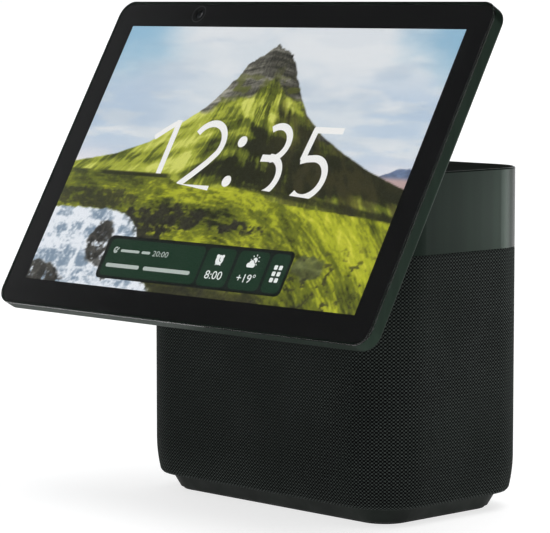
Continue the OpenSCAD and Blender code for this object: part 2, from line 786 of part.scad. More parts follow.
camera_half = 4.2;

module camera_module() color("#17181a") {
    on_screen() difference() {
        block([lens_u - camera_half, lens_v - camera_half, -6.4], [lens_u + camera_half, lens_v + camera_half, -1.9]);
        translate([lens_u, lens_v, -2.6]) cylinder(r = lens_r + 0.1, h = 2);
    }
}

// Front lens, dished in the middle.
module camera_lens() color("#1d3a44") {
    on_screen() translate([lens_u, lens_v, -2.6]) difference() {
        cylinder(r = lens_r, h = 0.6);
        translate([0, 0, 6.9]) sphere(r = 6.5);
    }
}

// Sliding blade that covers the camera, with a ribbed tab on the top edge.
module camera_shutter() color("#2a2e2c") {
    top = glass_h / 2;
    on_screen() difference() {
        union() {
            block([shutter_u - 5, lens_v - camera_half, -1.7], [shutter_u + 5, top - 1.3, -1.3]);
            block([shutter_u - 3, top - 2.1, -2.6], [shutter_u + 3, top - 1.3, -1.7 + e]);
            block([shutter_u - 3, top - 2.1, -4.2], [shutter_u + 3, top + 1, -2.6 + e]);
        }
        for (i = [-1:1])
            block([shutter_u + i * 1.6 - 0.25, top + 0.7, -5], [shutter_u + i * 1.6 + 0.25, top + 2, -2]);
    }
}

// ------------------------------------------------------------ node selection

foot_pad();
base_tray();
base_screws();
grille_core();
fabric_cover();
top_band();
top_panel();
hinge_cover();
hinge_bracket();
bracket_screws();
hinge_pin();
hinge_nuts();
hinge_discs();
front_baffle();
baffle_gasket();
baffle_screws();
rear_enclosure();
woofer_basket();
woofer_magnet();
woofer_yoke();
woofer_top_plate();
woofer_spider();
woofer_surround();
woofer_cone();
woofer_voice_coil();
tweeter_left();
tweeter_right();
passive_frame_left();
passive_frame_right();
passive_surround_left();
passive_surround_right();
passive_cone_left();
passive_cone_right();
main_board();
heat_sink();
amplifier_board();
power_board();
power_inlet();
rear_port_panel();
button_board();
antenna_left();
antenna_right();
display_cable();
volume_down_button();
action_button();
mic_mute_button();
volume_up_button();
display_shell();
cover_glass();
bezel_mask();
lcd_panel();
backlight_unit();
display_midframe();
display_board();
camera_module();
camera_lens();
camera_shutter();
hinge_arm();
arm_screws();
arm_cover();
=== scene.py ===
"""Looks of the smart display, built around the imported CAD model.

Everything is in metres, in the model's own frame: +X is the object's left-to-right,
-Y is its front and +Z is up. Small lengths are written in millimetres times MM.
"""

import json
import math

import bmesh
import bpy
import numpy as np
from mathutils import Matrix, Vector


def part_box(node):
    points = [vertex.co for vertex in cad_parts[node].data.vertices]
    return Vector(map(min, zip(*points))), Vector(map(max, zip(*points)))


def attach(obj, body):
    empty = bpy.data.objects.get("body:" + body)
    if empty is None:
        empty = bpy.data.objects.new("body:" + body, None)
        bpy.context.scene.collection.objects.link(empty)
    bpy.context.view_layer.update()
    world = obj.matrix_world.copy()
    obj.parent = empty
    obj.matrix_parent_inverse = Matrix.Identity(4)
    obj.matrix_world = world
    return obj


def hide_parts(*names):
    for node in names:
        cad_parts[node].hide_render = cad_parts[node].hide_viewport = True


MM = 0.001

# The view: where the camera stands, which way it looks and its lens.
CAMERA_AT = (0.90812, -0.90780, 0.23084)
CAMERA_TURN = 46.19  # degrees round to the left of the +Y direction
CAMERA_DROP = 5.46  # degrees below the horizon
CAMERA_LENS = 181.31

# Sizes, in millimetres, that the CAD model also has.
TILT = 30  # the screen leans back from upright by this many degrees
GLASS_T, MASK_T = 1.1, 0.1
PICTURE_W, PICTURE_H = 217.0, 135.6
CORNER_R = 25.0
CLOTH_TOP, CLOTH_FOOT = 120.3, 8.0
CURVE_Z, CURVE_R = 25.0, 66.0
HEM_IN = 5.0
PORT_W, PORT_H, PORT_R, PORT_Z = 46.3, 24.3, 6.15, 40.0
LENS_U, LENS_V = -65.0, 74.6
KEY_GROOVE = 0.25  # depth of the signs cut into three of the keys

# One open mesh of the knitted cloth, of which 258 go round the body, and the clock's strokes.
MESH_W, MESH_H = 487.07 / 258, 1.59
STROKE = 3.5

# Where the layers of the picture lie, in millimetres out of the glass's front, from the back on.
PICTURE_N = -1.18
TRAY_N = -1.165
DIGIT_N = -1.16
CARD_N = -1.15
MARK_N = -1.135
GAP_N = -1.13
TOP_MARK_N = -1.125
RING_N = -1.11
INK_T = 0.012  # how far the ink of the keys stands above what it is printed on

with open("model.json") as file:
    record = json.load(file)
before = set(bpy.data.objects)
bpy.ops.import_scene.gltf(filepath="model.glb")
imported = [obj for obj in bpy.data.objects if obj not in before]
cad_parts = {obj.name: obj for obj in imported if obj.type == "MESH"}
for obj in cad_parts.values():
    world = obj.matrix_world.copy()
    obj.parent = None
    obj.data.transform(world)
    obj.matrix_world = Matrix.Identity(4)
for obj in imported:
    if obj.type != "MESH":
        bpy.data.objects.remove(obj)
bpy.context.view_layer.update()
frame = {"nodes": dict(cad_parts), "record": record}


# ------------------------------------------------------------------ helpers


def to_linear(colour):
    """Linear values for sRGB values from 0 to 1."""
    return np.where(colour <= 0.04045, colour / 12.92, ((colour + 0.055) / 1.055) ** 2.4)


def tone(*rgb):
    """Linear colour for three sRGB values from 0 to 255."""
    return tuple(to_linear(np.array(rgb) / 255).tolist())


def new_object(name, mesh):
    made = bpy.data.objects.new(name, mesh)
    bpy.context.scene.collection.objects.link(made)
    return made


def to_mesh(build, name):
    """The mesh of a finished bmesh, its faces turned outwards."""
    bmesh.ops.recalc_face_normals(build, faces=build.faces)
    mesh = bpy.data.meshes.new(name)
    build.to_mesh(mesh)
    build.free()
    return mesh


def screen_frame():
    """u to the right, v up the screen and n out of the glass, from the middle of the glass's front."""
    low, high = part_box("bezel_mask")
    lean = math.radians(90 - TILT)
    out = Vector((0, -math.sin(lean), math.cos(lean)))
    origin = (low + high) / 2 + out * ((GLASS_T + MASK_T / 2) * MM)
    return Matrix.Translation(origin) @ Matrix.Rotation(lean, 4, "X")


SCREEN = screen_frame()


class Nodes:
    """A node tree, with short ways to add nodes to it."""

    def __init__(self, tree):
        self.nodes, self.links = tree.nodes, tree.links

    def node(self, kind, **inputs):
        """A node; its inputs are given by name, as values or as outputs to link."""
        made = self.nodes.new("ShaderNode" + kind)
        for name, value in inputs.items():
            self.feed(made.inputs[name.replace("_", " ")], value)
        return made

    def feed(self, socket, value):
        if isinstance(value, bpy.types.NodeSocket):
            self.links.new(value, socket)
        else:
            socket.default_value = value

    def math(self, operation, a, b=0.0):
        made = self.nodes.new("ShaderNodeMath")
        made.operation = operation
        for socket, value in zip(made.inputs, (a, b)):
            self.feed(socket, value)
        return made.outputs[0]

    def remap(self, value, low, high, to_low=0.0, to_high=1.0):
        """value from low..high to to_low..to_high, eased and held at both ends."""
        made = self.node("MapRange", Value=value, From_Min=low, From_Max=high, To_Min=to_low, To_Max=to_high)
        made.interpolation_type = "SMOOTHSTEP"
        return made.outputs["Result"]


class Finish(Nodes):
    """One material and the nodes that give it its detail."""

    def __init__(self, name, **sockets):
        self.material = bpy.data.materials.new(name)
        self.material.use_nodes = True
        super().__init__(self.material.node_tree)
        self.shader = self.nodes["Principled BSDF"]
        self.place = self.node("TexCoord").outputs["Object"]
        self.normal = None
        for socket, value in sockets.items():
            self.shader.inputs[socket.replace("_", " ")].default_value = value

    def scaled(self, stretch):
        """The place on the object in millimetres, stretched along the three axes."""
        made = self.node("Mapping", Vector=self.place)
        made.inputs["Scale"].default_value = [s / MM for s in stretch]
        return made.outputs["Vector"]

    def noise(self, size, detail=3.0, stretch=(1, 1, 1), rough=0.5):
        """Noise from 0 to 1 whose blobs are about size millimetres across."""
        place = self.scaled(stretch)
        made = self.node("TexNoise", Vector=place, Scale=1 / size, Detail=detail, Roughness=rough)
        return made.outputs["Fac"]

    def between(self, fac, a, b, blend="MIX"):
        """A colour from a, where fac is 0, to b, where it is 1, or to both blended in another way."""
        made = self.node("Mix")
        made.data_type = "RGBA"
        made.blend_type = blend
        self.feed(made.inputs[0], fac)
        for socket, value in ((made.inputs[6], a), (made.inputs[7], b)):
            self.feed(socket, value if isinstance(value, bpy.types.NodeSocket) else (*value, 1.0))
        return made.outputs[2]

    def colour(self, value):
        self.feed(self.shader.inputs["Base Color"], value)

    def roughness(self, fac, low, high):
        self.feed(self.shader.inputs["Roughness"], self.remap(fac, 0.25, 0.75, low, high))

    def bump(self, height, depth):
        """Raises the surface by up to depth millimetres where height is 1."""
        made = self.node("Bump", Height=height, Distance=depth * MM, Strength=1.0)
        if self.normal:
            self.links.new(self.normal, made.inputs["Normal"])
        self.normal = made.outputs["Normal"]
        self.links.new(self.normal, self.shader.inputs["Normal"])


# ---------------------------------------------------------------- materials


def moulded(name, low, high, rough, grain=0.45, depth=0.012, **sockets):
    """Plastic from an etched mould: a fine pebbled grain and slightly uneven colour."""
    finish = Finish(name, **sockets)
    pebbles = finish.noise(grain, 2.0)
    finish.colour(finish.between(finish.remap(finish.noise(22, 4.0), 0.35, 0.65), low, high))
    finish.roughness(finish.noise(6, 4.0), rough - 0.05, rough + 0.07)
    finish.bump(pebbles, depth)
    return finish.material


def satin_metal(name, low, high, metallic, rough, edge):
    """Anodised, blasted metal: a fine sparkle over faint upright streaks; edge tints its glancing gloss."""
    finish = Finish(name, Metallic=metallic, Specular_IOR_Level=0.3)
    finish.shader.inputs["Specular Tint"].default_value = (edge, edge, edge, 1)
    sparkle = finish.noise(0.22, 2.0)
    streaks = finish.noise(4.0, 2.0, stretch=(1, 1, 0.02))
    cloud = finish.math("ADD", streaks, finish.math("MULTIPLY", sparkle, 0.35))
    finish.colour(finish.between(finish.remap(cloud, 0.5, 0.85), low, high))
    finish.roughness(finish.noise(0.9, 3.0), rough - 0.03, rough + 0.05)
    finish.bump(sparkle, 0.0035)
    return finish.material


def drawn_metal(name, low, high, rough, along=(1, 1, 1)):
    """Bare metal with fine lines left by rolling, turning or milling."""
    finish = Finish(name, Metallic=1.0)
    lines = finish.noise(0.5, 4.0, stretch=along)
    finish.colour(finish.between(lines, low, high))
    finish.roughness(finish.noise(3, 4.0, stretch=along), rough - 0.08, rough + 0.1)
    finish.bump(lines, 0.003)
    return finish.material


def rough_cast(name, low, high, metallic, rough):
    """Ferrite, castings and powder coat: an orange-peel skin with small pits."""
    finish = Finish(name, Metallic=metallic)
    peel = finish.noise(1.3, 3.0)
    pits = finish.remap(finish.noise(0.7, 2.0), 0.62, 0.74)
    finish.colour(finish.between(finish.noise(9, 4.0), low, high))
    finish.roughness(peel, rough - 0.06, rough + 0.08)
    finish.bump(finish.math("SUBTRACT", peel, pits), 0.02)
    return finish.material


def circuit_board():
    """Solder resist over fine copper tracks, with small bare pads."""
    finish = Finish("circuit_board")
    split = finish.node("SeparateXYZ", Vector=finish.scaled((1, 1, 1)))
    warp = finish.math("MULTIPLY", finish.noise(14, 1.0), 9.0)
    lanes = finish.math("FRACT", finish.math("ADD", split.outputs["X"], warp))
    wider = finish.math("MULTIPLY", split.outputs["Z"], 0.8)
    rows = finish.math("FRACT", finish.math("ADD", wider, warp))
    tracks = finish.math("MAXIMUM", finish.remap(lanes, 0.60, 0.68), finish.remap(rows, 0.66, 0.74))
    green = finish.between(tracks, tone(16, 66, 44), tone(30, 98, 62))
    spots = finish.node("TexVoronoi", Vector=finish.scaled((1, 1, 1)), Scale=0.45)
    pads = finish.remap(spots.outputs["Distance"], 0.16, 0.13)
    finish.colour(finish.between(pads, green, tone(196, 178, 120)))
    finish.roughness(tracks, 0.35, 0.5)
    finish.bump(finish.math("ADD", tracks, pads), 0.03)
    return finish.material


def banded(name, low, high, pitch, axis, metallic, rough):
    """Parallel bands: enamelled wire, a ribbon cable's leads or etched foil."""
    finish = Finish(name, Metallic=metallic)
    at = finish.node("SeparateXYZ", Vector=finish.scaled((1, 1, 1))).outputs[axis]
    wave = finish.math("SINE", finish.math("MULTIPLY", at, 2 * math.pi / pitch))
    bands = finish.remap(wave, -0.8, 0.8)
    finish.colour(finish.between(bands, low, high))
    finish.roughness(finish.noise(2, 3.0), rough - 0.05, rough + 0.08)
    finish.bump(bands, pitch * 0.2)
    return finish.material


def woven(name, low, high, pitch):
    """Plain weave, for the spider behind the woofer's cone."""
    finish = Finish(name, Sheen_Weight=0.2)
    split = finish.node("SeparateXYZ", Vector=finish.scaled((1, 1, 1)))
    turn = 2 * math.pi / pitch
    warp = finish.math("SINE", finish.math("MULTIPLY", split.outputs["X"], turn))
    weft = finish.math("SINE", finish.math("MULTIPLY", split.outputs["Z"], turn))
    weave = finish.remap(finish.math("MULTIPLY", warp, weft), -0.8, 0.8)
    finish.colour(finish.between(weave, low, high))
    finish.roughness(weave, 0.7, 0.85)
    finish.bump(weave, pitch * 0.3)
    return finish.material


def cone_fibre():
    """Pressed paper with long flecks under a thin coat."""
    finish = Finish("cone_fibre", Coat_Weight=0.25, Coat_Roughness=0.3)
    flecks = finish.noise(1.2, 5.0, stretch=(1, 1, 0.25), rough=0.7)
    finish.colour(finish.between(finish.remap(flecks, 0.35, 0.7), tone(26, 28, 30), tone(58, 60, 62)))
    finish.roughness(flecks, 0.5, 0.65)
    finish.bump(flecks, 0.05)
    return finish.material


def front_glass():
    """Clear glass with a coat against reflections, and a trace of wiping in its gloss."""
    finish = Finish("front_glass", Transmission_Weight=1.0, IOR=1.35)
    finish.shader.inputs["Base Color"].default_value = (1, 1, 1, 1)
    wiped = finish.noise(26, 5.0, stretch=(1, 0.35, 1), rough=0.6)
    finish.roughness(wiped, 0.0, 0.004)
    return finish.material


def bezel_print():
    """Black ceramic ink, seen through the glass."""
    finish = Finish("bezel_print", Specular_IOR_Level=0.2)
    specks = finish.noise(0.4, 3.0)
    finish.colour(finish.between(specks, tone(6, 7, 8), tone(11, 12, 13)))
    finish.roughness(specks, 0.5, 0.65)
    return finish.material


def lens_glass():
    """Coated front element: a pupil painted near black for the shade inside the lens, in a blue-green coat.
    """
    finish = Finish("lens_glass", Coat_Weight=0.6, Coat_Roughness=0.04)
    at = finish.node("Mapping", Vector=finish.place)
    at.inputs["Location"].default_value = -(SCREEN @ Vector((LENS_U * MM, LENS_V * MM, -2.3 * MM)))
    away = finish.nodes.new("ShaderNodeVectorMath")
    away.operation = "LENGTH"
    finish.links.new(at.outputs["Vector"], away.inputs[0])
    # Painted shade: near black in the middle, for the unlit inside of the lens, to the coat's blue-green
    # further out.
    ring = finish.remap(away.outputs["Value"], 0.7 * MM, 2.2 * MM)
    finish.colour(finish.between(ring, tone(6, 8, 12), tone(24, 34, 44)))
    finish.roughness(finish.noise(0.6, 3.0), 0.05, 0.12)
    return finish.material


def light_guide():
    """White reflector printed with small dots."""
    finish = Finish("light_guide")
    dots = finish.node("TexVoronoi", Vector=finish.scaled((1, 1, 1)), Scale=0.8)
    printed = finish.remap(dots.outputs["Distance"], 0.42, 0.34)
    finish.colour(finish.between(printed, tone(224, 227, 229), tone(246, 247, 248)))
    finish.roughness(printed, 0.4, 0.6)
    finish.bump(printed, 0.01)
    return finish.material


def polariser():
    """The LCD's own front film, dark where no picture is lit."""
    finish = Finish("lcd_film", Coat_Weight=0.4)
    cells = finish.noise(0.25, 2.0)
    finish.colour(finish.between(cells, tone(16, 19, 22), tone(27, 31, 36)))
    finish.roughness(finish.noise(12, 4.0), 0.25, 0.4)
    return finish.material


def knitted_cloth():
    """Acoustic cloth: rows of small open meshes, each row half a step on from the last."""
    finish = Finish("cloth", Sheen_Weight=0.03, Sheen_Roughness=0.4, Specular_IOR_Level=0.08)
    finish.shader.inputs["Sheen Tint"].default_value = (*tone(176, 190, 182), 1.0)
    flat = finish.nodes.new("ShaderNodeUVMap")
    flat.uv_map = "flat_mm"
    drift = finish.math("MULTIPLY", finish.math("SUBTRACT", finish.noise(5, 3.0), 0.5), 0.35)
    split = finish.node("SeparateXYZ", Vector=flat.outputs["UV"])
    across = finish.math("ADD", split.outputs["X"], drift)
    up = finish.math("ADD", split.outputs["Y"], drift)
    wave_x = finish.math("COSINE", finish.math("MULTIPLY", across, 2 * math.pi / MESH_W))
    wave_y = finish.math("COSINE", finish.math("MULTIPLY", up, 2 * math.pi / MESH_H))
    mesh = finish.math("ADD", finish.math("MULTIPLY", wave_x, wave_y), finish.math("MULTIPLY", wave_y, 0.3))
    hairs = finish.noise(0.16, 3.0)
    holes = finish.remap(finish.math("ADD", mesh, finish.math("MULTIPLY", hairs, 0.5)), -0.30, 0.50)
    thread = finish.between(finish.remap(hairs, 0.3, 0.7), tone(60, 66, 63), tone(79, 85, 82))
    thread = finish.between(finish.remap(finish.noise(34, 4.0), 0.35, 0.65), thread, tone(63, 69, 66))
    # Painted shade: the open meshes are near black, for the shade inside the sleeve seen through them.
    weave = finish.between(holes, thread, tone(2, 3, 3))
    seam = finish.remap(finish.math("ABSOLUTE", split.outputs["X"]), 0.55, 0.25)
    finish.colour(finish.between(seam, weave, tone(14, 17, 16)))
    finish.roughness(hairs, 0.8, 0.95)
    height = finish.math("SUBTRACT", finish.math("MULTIPLY", hairs, 0.35), holes)
    finish.bump(finish.math("SUBTRACT", height, seam), 0.28)
    return finish.material


def glowing(name, colour, strength=1.0):
    """A lit part of the picture in one tone, with the slight unevenness of a backlight."""
    finish = Finish(name, Roughness=0.6, Emission_Strength=strength)
    finish.shader.inputs["Base Color"].default_value = (0.002, 0.002, 0.002, 1)
    cells = finish.remap(finish.noise(0.6, 4.0), 0.3, 0.7)
    dim = tuple(c * 0.97 for c in colour)
    finish.feed(finish.shader.inputs["Emission Color"], finish.between(cells, dim, colour))
    finish.roughness(cells, 0.5, 0.7)
    return finish.material


def painted_light(name, attribute, strength):
    """The picture itself: light in the colours that paint_picture() gave the mesh."""
    finish = Finish(name, Emission_Strength=strength)
    finish.shader.inputs["Base Color"].default_value = (0.002, 0.002, 0.002, 1)
    paint = finish.nodes.new("ShaderNodeVertexColor")
    paint.layer_name = attribute
    cells = finish.remap(finish.noise(0.5, 3.0), 0.3, 0.7)
    uneven = finish.between(cells, (0.94, 0.94, 0.94), (1.03, 1.03, 1.03))
    lit = finish.between(1.0, paint.outputs["Color"], uneven, "MULTIPLY")
    finish.feed(finish.shader.inputs["Emission Color"], lit)
    finish.roughness(cells, 0.5, 0.7)
    return finish.material


def make_finishes():
    """A material for each of the record's material slots."""
    finishes = {
        "cloth": knitted_cloth(),
        # Painted shade: the top band's copy of the green metal is toned darker than the display shell's copy
        # in dress(), for how light falls on it.
        "green_metal_finish": satin_metal(
            "green_metal", tone(21, 32, 26), tone(24, 36, 29), 0.75, 0.32, 0.95
        ),
        "dark_green_plastic": moulded(
            "dark_green_plastic", tone(20, 25, 22), tone(27, 33, 29), 0.6, Specular_IOR_Level=0.12
        ),
        "black_panel": moulded(
            "black_panel", tone(25, 27, 25), tone(31, 33, 31), 0.6,
            grain=0.3, depth=0.006, Specular_IOR_Level=0.0,
        ),
        "cone_fibre": cone_fibre(),
        "circuit_board": circuit_board(),
        "front_glass": front_glass(),
        "bezel_print": bezel_print(),
        "picture": polariser(),
        "light_guide": light_guide(),
        "lens_glass": lens_glass(),
    }
    # How each of the rest is made: its dark and its light tone, and what its function asks for next.
    rest = {
        "black_plastic": (moulded, (24, 26, 26), (31, 33, 33), 0.55),
        "soft_rubber": (moulded, (30, 31, 31), (38, 39, 39), 0.8, 0.8, 0.02),
        "button_plastic": (moulded, (27, 30, 29), (34, 37, 36), 0.46, 0.25, 0.005),
        "screw_steel": (drawn_metal, (140, 143, 146), (178, 180, 182), 0.32),
        "bracket_steel": (drawn_metal, (150, 153, 155), (185, 187, 188), 0.4, (0.08, 1, 1)),
        "pin_steel": (drawn_metal, (176, 178, 180), (208, 210, 212), 0.22, (1, 0.1, 0.1)),
        "disc_brass": (drawn_metal, (178, 148, 84), (212, 182, 110), 0.3, (1, 0.1, 0.1)),
        "plate_iron": (drawn_metal, (138, 141, 144), (168, 170, 173), 0.42, (1, 0.08, 1)),
        "sink_aluminium": (drawn_metal, (182, 184, 186), (212, 213, 215), 0.35, (0.1, 1, 1)),
        "midframe_alloy": (drawn_metal, (160, 163, 166), (190, 192, 194), 0.42, (0.1, 1, 1)),
        "arm_alloy": (rough_cast, (44, 51, 47), (55, 63, 58), 0.35, 0.46),
        "magnet_iron": (rough_cast, (52, 53, 56), (70, 71, 74), 0.25, 0.6),
        "basket_steel": (rough_cast, (42, 43, 45), (56, 57, 59), 0.2, 0.5),
        "spider_cloth": (woven, (150, 112, 52), (206, 164, 88), 0.9),
        "coil_copper": (banded, (120, 60, 30), (206, 122, 70), 0.3, "Y", 0.9, 0.35),
        "ribbon_film": (banded, (196, 166, 104), (226, 204, 150), 1.0, "X", 0.0, 0.4),
        "antenna_copper": (banded, (60, 104, 74), (212, 140, 84), 4.0, "Z", 0.6, 0.4),
    }
    for name, (make, low, high, *values) in rest.items():
        finishes[name] = make(name, tone(*low), tone(*high), *values)
    return finishes


def strip():
    """Takes off the plain materials that the CAD nodes came with."""
    for node in frame["nodes"].values():
        node.data.materials.clear()
    for plain in list(bpy.data.materials):
        bpy.data.materials.remove(plain)


def dress(finishes):
    """Gives every CAD node the material of its slot in the record; the display shell then gets its own copy
    of the green metal, with a lighter tone that is painted light.
    """
    for part in frame["record"]["subparts"]:
        frame["nodes"][part["node"]].data.materials.append(finishes[part["material_slot"]])
    shell = frame["nodes"]["display_shell"].data.materials
    # Painted light: the shell's copy of the green metal is toned lighter than the top band's, for how light
    # falls on it.
    shell[0] = satin_metal("shell_metal_painted_lighter", tone(37, 50, 42), tone(41, 55, 46), 0.7, 0.36, 0.45)


# ------------------------------------------------- the picture on the screen
# A made-up landscape, painted from formulas on a fine grid. u runs right and
# v runs up, both in millimetres from the middle of the picture.


def smooth(low, high, x):
    """0 below low, 1 above high, and a smooth step between them."""
    t = np.clip((x - low) / (high - low), 0.0, 1.0)
    return t * t * (3.0 - 2.0 * t)


def lattice(i, j, seed):
    """A repeatable random value from 0 to 1 for each lattice point."""
    wave = np.sin(i * 127.1 + j * 311.7 + seed * 74.7) * 43758.5453
    return wave - np.floor(wave)


def value_noise(x, y, seed):
    i, j = np.floor(x), np.floor(y)
    fx, fy = x - i, y - j
    fx, fy = fx * fx * (3 - 2 * fx), fy * fy * (3 - 2 * fy)
    low = lattice(i, j, seed) * (1 - fx) + lattice(i + 1, j, seed) * fx
    high = lattice(i, j + 1, seed) * (1 - fx) + lattice(i + 1, j + 1, seed) * fx
    return low * (1 - fy) + high * fy


def cloudy(x, y, octaves=5, seed=0):
    """Fractal noise from 0 to 1."""
    total, weight = 0.0, 0.0
    for k in range(octaves):
        total = total + value_noise(x * 2**k + 17.3 * k, y * 2**k - 9.1 * k, seed + k) / 2**k
        weight += 1 / 2**k
    return total / weight


def ridged(x, y, octaves=5, seed=0):
    """Fractal noise with sharp crests, from 0 to 1."""
    total, weight = 0.0, 0.0
    for k in range(octaves):
        n = value_noise(x * 2**k + 5.7 * k, y * 2**k + 3.3 * k, seed + k)
        total = total + (1 - np.abs(2 * n - 1)) ** 2 / 1.8**k
        weight += 1 / 1.8**k
    return total / weight


def over(base, colour, mask):
    """Lays a colour, one for all or one a point, over base where mask is 1."""
    return base + (np.asarray(colour) - base) * mask[..., None]


def flat_colour(u, colour):
    """The same colour at every point."""
    return np.broadcast_to(colour, u.shape + (3,))


def tinted(light, tint):
    """A grey from its lightness at each point, times one tint."""
    return np.stack([light] * 3, axis=-1) * tint


def blot(u, v, at, radii, seed, ragged=0.6):
    """A patch with a ragged outline, 1 inside."""
    reach = np.hypot((u - at[0]) / radii[0], (v - at[1]) / radii[1])
    return smooth(1.12, 0.88, reach + ragged * (cloudy(u / 5, v / 4, 5, seed) - 0.5) * 2)


def outline(u, points):
    """Height of a line drawn through (u, v) points."""
    return np.interp(u, [p[0] for p in points], [p[1] for p in points])


PEAK = (-2.0, 58.2)
MOUNTAIN = [
    (-109, -5.5), (-82, -0.5), (-62, 6.5), (-46, 16.5), (-34, 25), (-27, 33), (-20, 42), (-16.5, 49),
    (-8, 54.5), (-2, 58.2), (6, 56), (13, 50.5), (18.5, 42), (25, 33.5), (34, 23.5), (48, 14), (66, 5.5),
    (86, -2.5), (109, -9.5),
]
NEAR_GROUND = [
    (-109, -9.2), (-60, -9.6), (-40, -10.8), (-33, -13.2), (-20, -14.8), (-8, -14.8), (8, -13.4), (22, -15.2),
    (33, -19.6), (60, -21.6), (109, -25),
]
SNOW_EDGE = [
    (-109, -30), (-84, -29), (-66, -29.3), (-54, -32), (-46, -37.5), (-42, -45), (-34, -56), (-24, -66),
]


def paint_sky(u, v):
    colour = flat_colour(u, (0.825, 0.855, 0.880))
    bands = cloudy(u / 46 + 3, v / 9, 5, 11)
    colour = over(colour, (0.740, 0.790, 0.840), smooth(0.44, 0.66, bands) * 0.75)
    colour = over(colour, (0.885, 0.895, 0.905), smooth(0.56, 0.38, cloudy(u / 60, v / 22, 5, 4)) * 0.7)
    left_corner = smooth(62, 8, np.hypot(u + 112, (v - 70) * 1.2) + 26 * (cloudy(u / 22, v / 9, 5, 7) - 0.5))
    colour = over(colour, (0.520, 0.700, 0.810), left_corner * 0.85)
    right_corner = smooth(52, 6, np.hypot(u - 112, (v - 66) * 1.5) + 30 * (cloudy(u / 18, v / 8, 5, 9) - 0.5))
    colour = over(colour, (0.500, 0.680, 0.790), right_corner * 0.8)
    streaks = smooth(0.38, 0.62, cloudy(u / 30, v / 6, 5, 21))
    low_blue = smooth(34, 12, np.abs(v - 18)) * smooth(20, 95, np.abs(u)) * streaks
    colour = over(colour, (0.660, 0.750, 0.845), low_blue * 0.6)
    glow = smooth(10, -6, v) * smooth(60, 100, np.abs(u))
    return over(colour, (0.930, 0.905, 0.915), glow * 0.7)


def paint_far_hills(colour, u, v):
    top = -5.5 + 7 * smooth(84, 106, u) * (0.55 + 0.6 * cloudy(u / 7, u * 0, 4, 31))
    rock = tinted(0.34 + 0.2 * cloudy(u / 2.5, v / 1.6, 4, 33), (0.86, 1.0, 1.25))
    colour = over(colour, rock, smooth(-0.3, 0.3, top - v) * smooth(80, 84, u))
    return over(colour, (0.80, 0.66, 0.62), smooth(-3.0, -6.0, v) * smooth(84, 92, u) * 0.8)


def paint_mountain(colour, u, v):
    across = (u - PEAK[0]) / (86.0 - v)  # the same all the way down a gully
    warp = across + 0.05 * (cloudy(u / 9, v / 12, 4, 41) - 0.5)
    gullies = ridged(warp * 13, v / 40, 5, 42)
    fine = ridged(warp * 48 + 4, v / 11, 5, 43)
    top = outline(u, MOUNTAIN)
    edge = top + (cloudy(u / 2.2, v / 3, 4, 44) - 0.5) * (0.6 + 3.2 * smooth(22, 40, v))
    depth = top - v

    terraces = cloudy(u / 20, (v + 0.30 * np.abs(u - PEAK[0])) / 4.5, 5, 39)
    lit = 0.42 + 0.55 * (gullies - 0.42) + 0.45 * (fine - 0.45) + 1.1 * (terraces - 0.5)
    lit = lit + 0.26 * smooth(0.08, -0.50, across) - 0.16 * smooth(0.02, 0.40, across)
    lit = lit + 0.34 * blot(u, v, (6, 27), (17, 8), 40, 0.5) * smooth(0.30, 0.50, gullies)
    shadow = smooth(16, 7, v + 0.16 * np.abs(u - 12) + 7 * (cloudy(u / 14, v / 7, 5, 45) - 0.5))
    shadow = shadow * smooth(-38, -2, u) * smooth(-15, -8, v + 0.05 * u)
    lower = smooth(0.42, 0.62, cloudy(u / 26, v / 5, 4, 46)) * smooth(-36, -14, u) * smooth(14, 2, v)
    lit = np.clip(lit - 0.42 * shadow - 0.10 * lower, 0, 1)
    grass = over(flat_colour(u, (0.120, 0.130, 0.045)), (0.340, 0.375, 0.110), smooth(0.04, 0.34, lit))
    grass = over(grass, (0.620, 0.650, 0.220), smooth(0.34, 0.66, lit))
    grass = over(grass, (0.800, 0.815, 0.400), smooth(0.68, 0.95, lit))
    earthy = smooth(0.10, 0.5, across) * smooth(0.35, 0.65, cloudy(warp * 22, v / 7, 4, 47))
    grass = over(grass, (0.270, 0.245, 0.135), earthy * 0.55)

    strata = cloudy(u / 14, (v + 0.22 * np.abs(u - PEAK[0])) / 1.5, 5, 48)
    cracks = ridged(warp * 60, v / 4, 5, 49)
    shade = np.clip(0.42 + 1.5 * (strata - 0.5) + 0.55 * (cracks - 0.5) - 0.55 * across, 0, 1)
    rock = over(flat_colour(u, (0.130, 0.128, 0.105)), (0.640, 0.630, 0.580), shade)
    moss = smooth(0.52, 0.66, cloudy(u / 6, v / 3, 5, 50)) * smooth(54, 34, v)
    rock = over(rock, (0.330, 0.350, 0.130), moss * 0.8)
    ragged = 9 * (cloudy(u / 6, v / 5, 5, 51) - 0.5)
    line = 31.0 + 9.0 * smooth(16, 0, np.abs(u - 5)) - 7.0 * smooth(-14, -34, u) + ragged
    bare = smooth(-2.2, 2.6, v - line)
    patchy = smooth(0.38, 0.52, cloudy(u / 6, v / 4, 4, 52))
    scree = smooth(4.2, 1.4, depth) * smooth(14, 22, u) * smooth(80, 56, u) * patchy
    ground = over(grass, rock, np.clip(bare + scree, 0, 1))
    return over(colour, ground, smooth(-0.35, 0.35, edge - v))


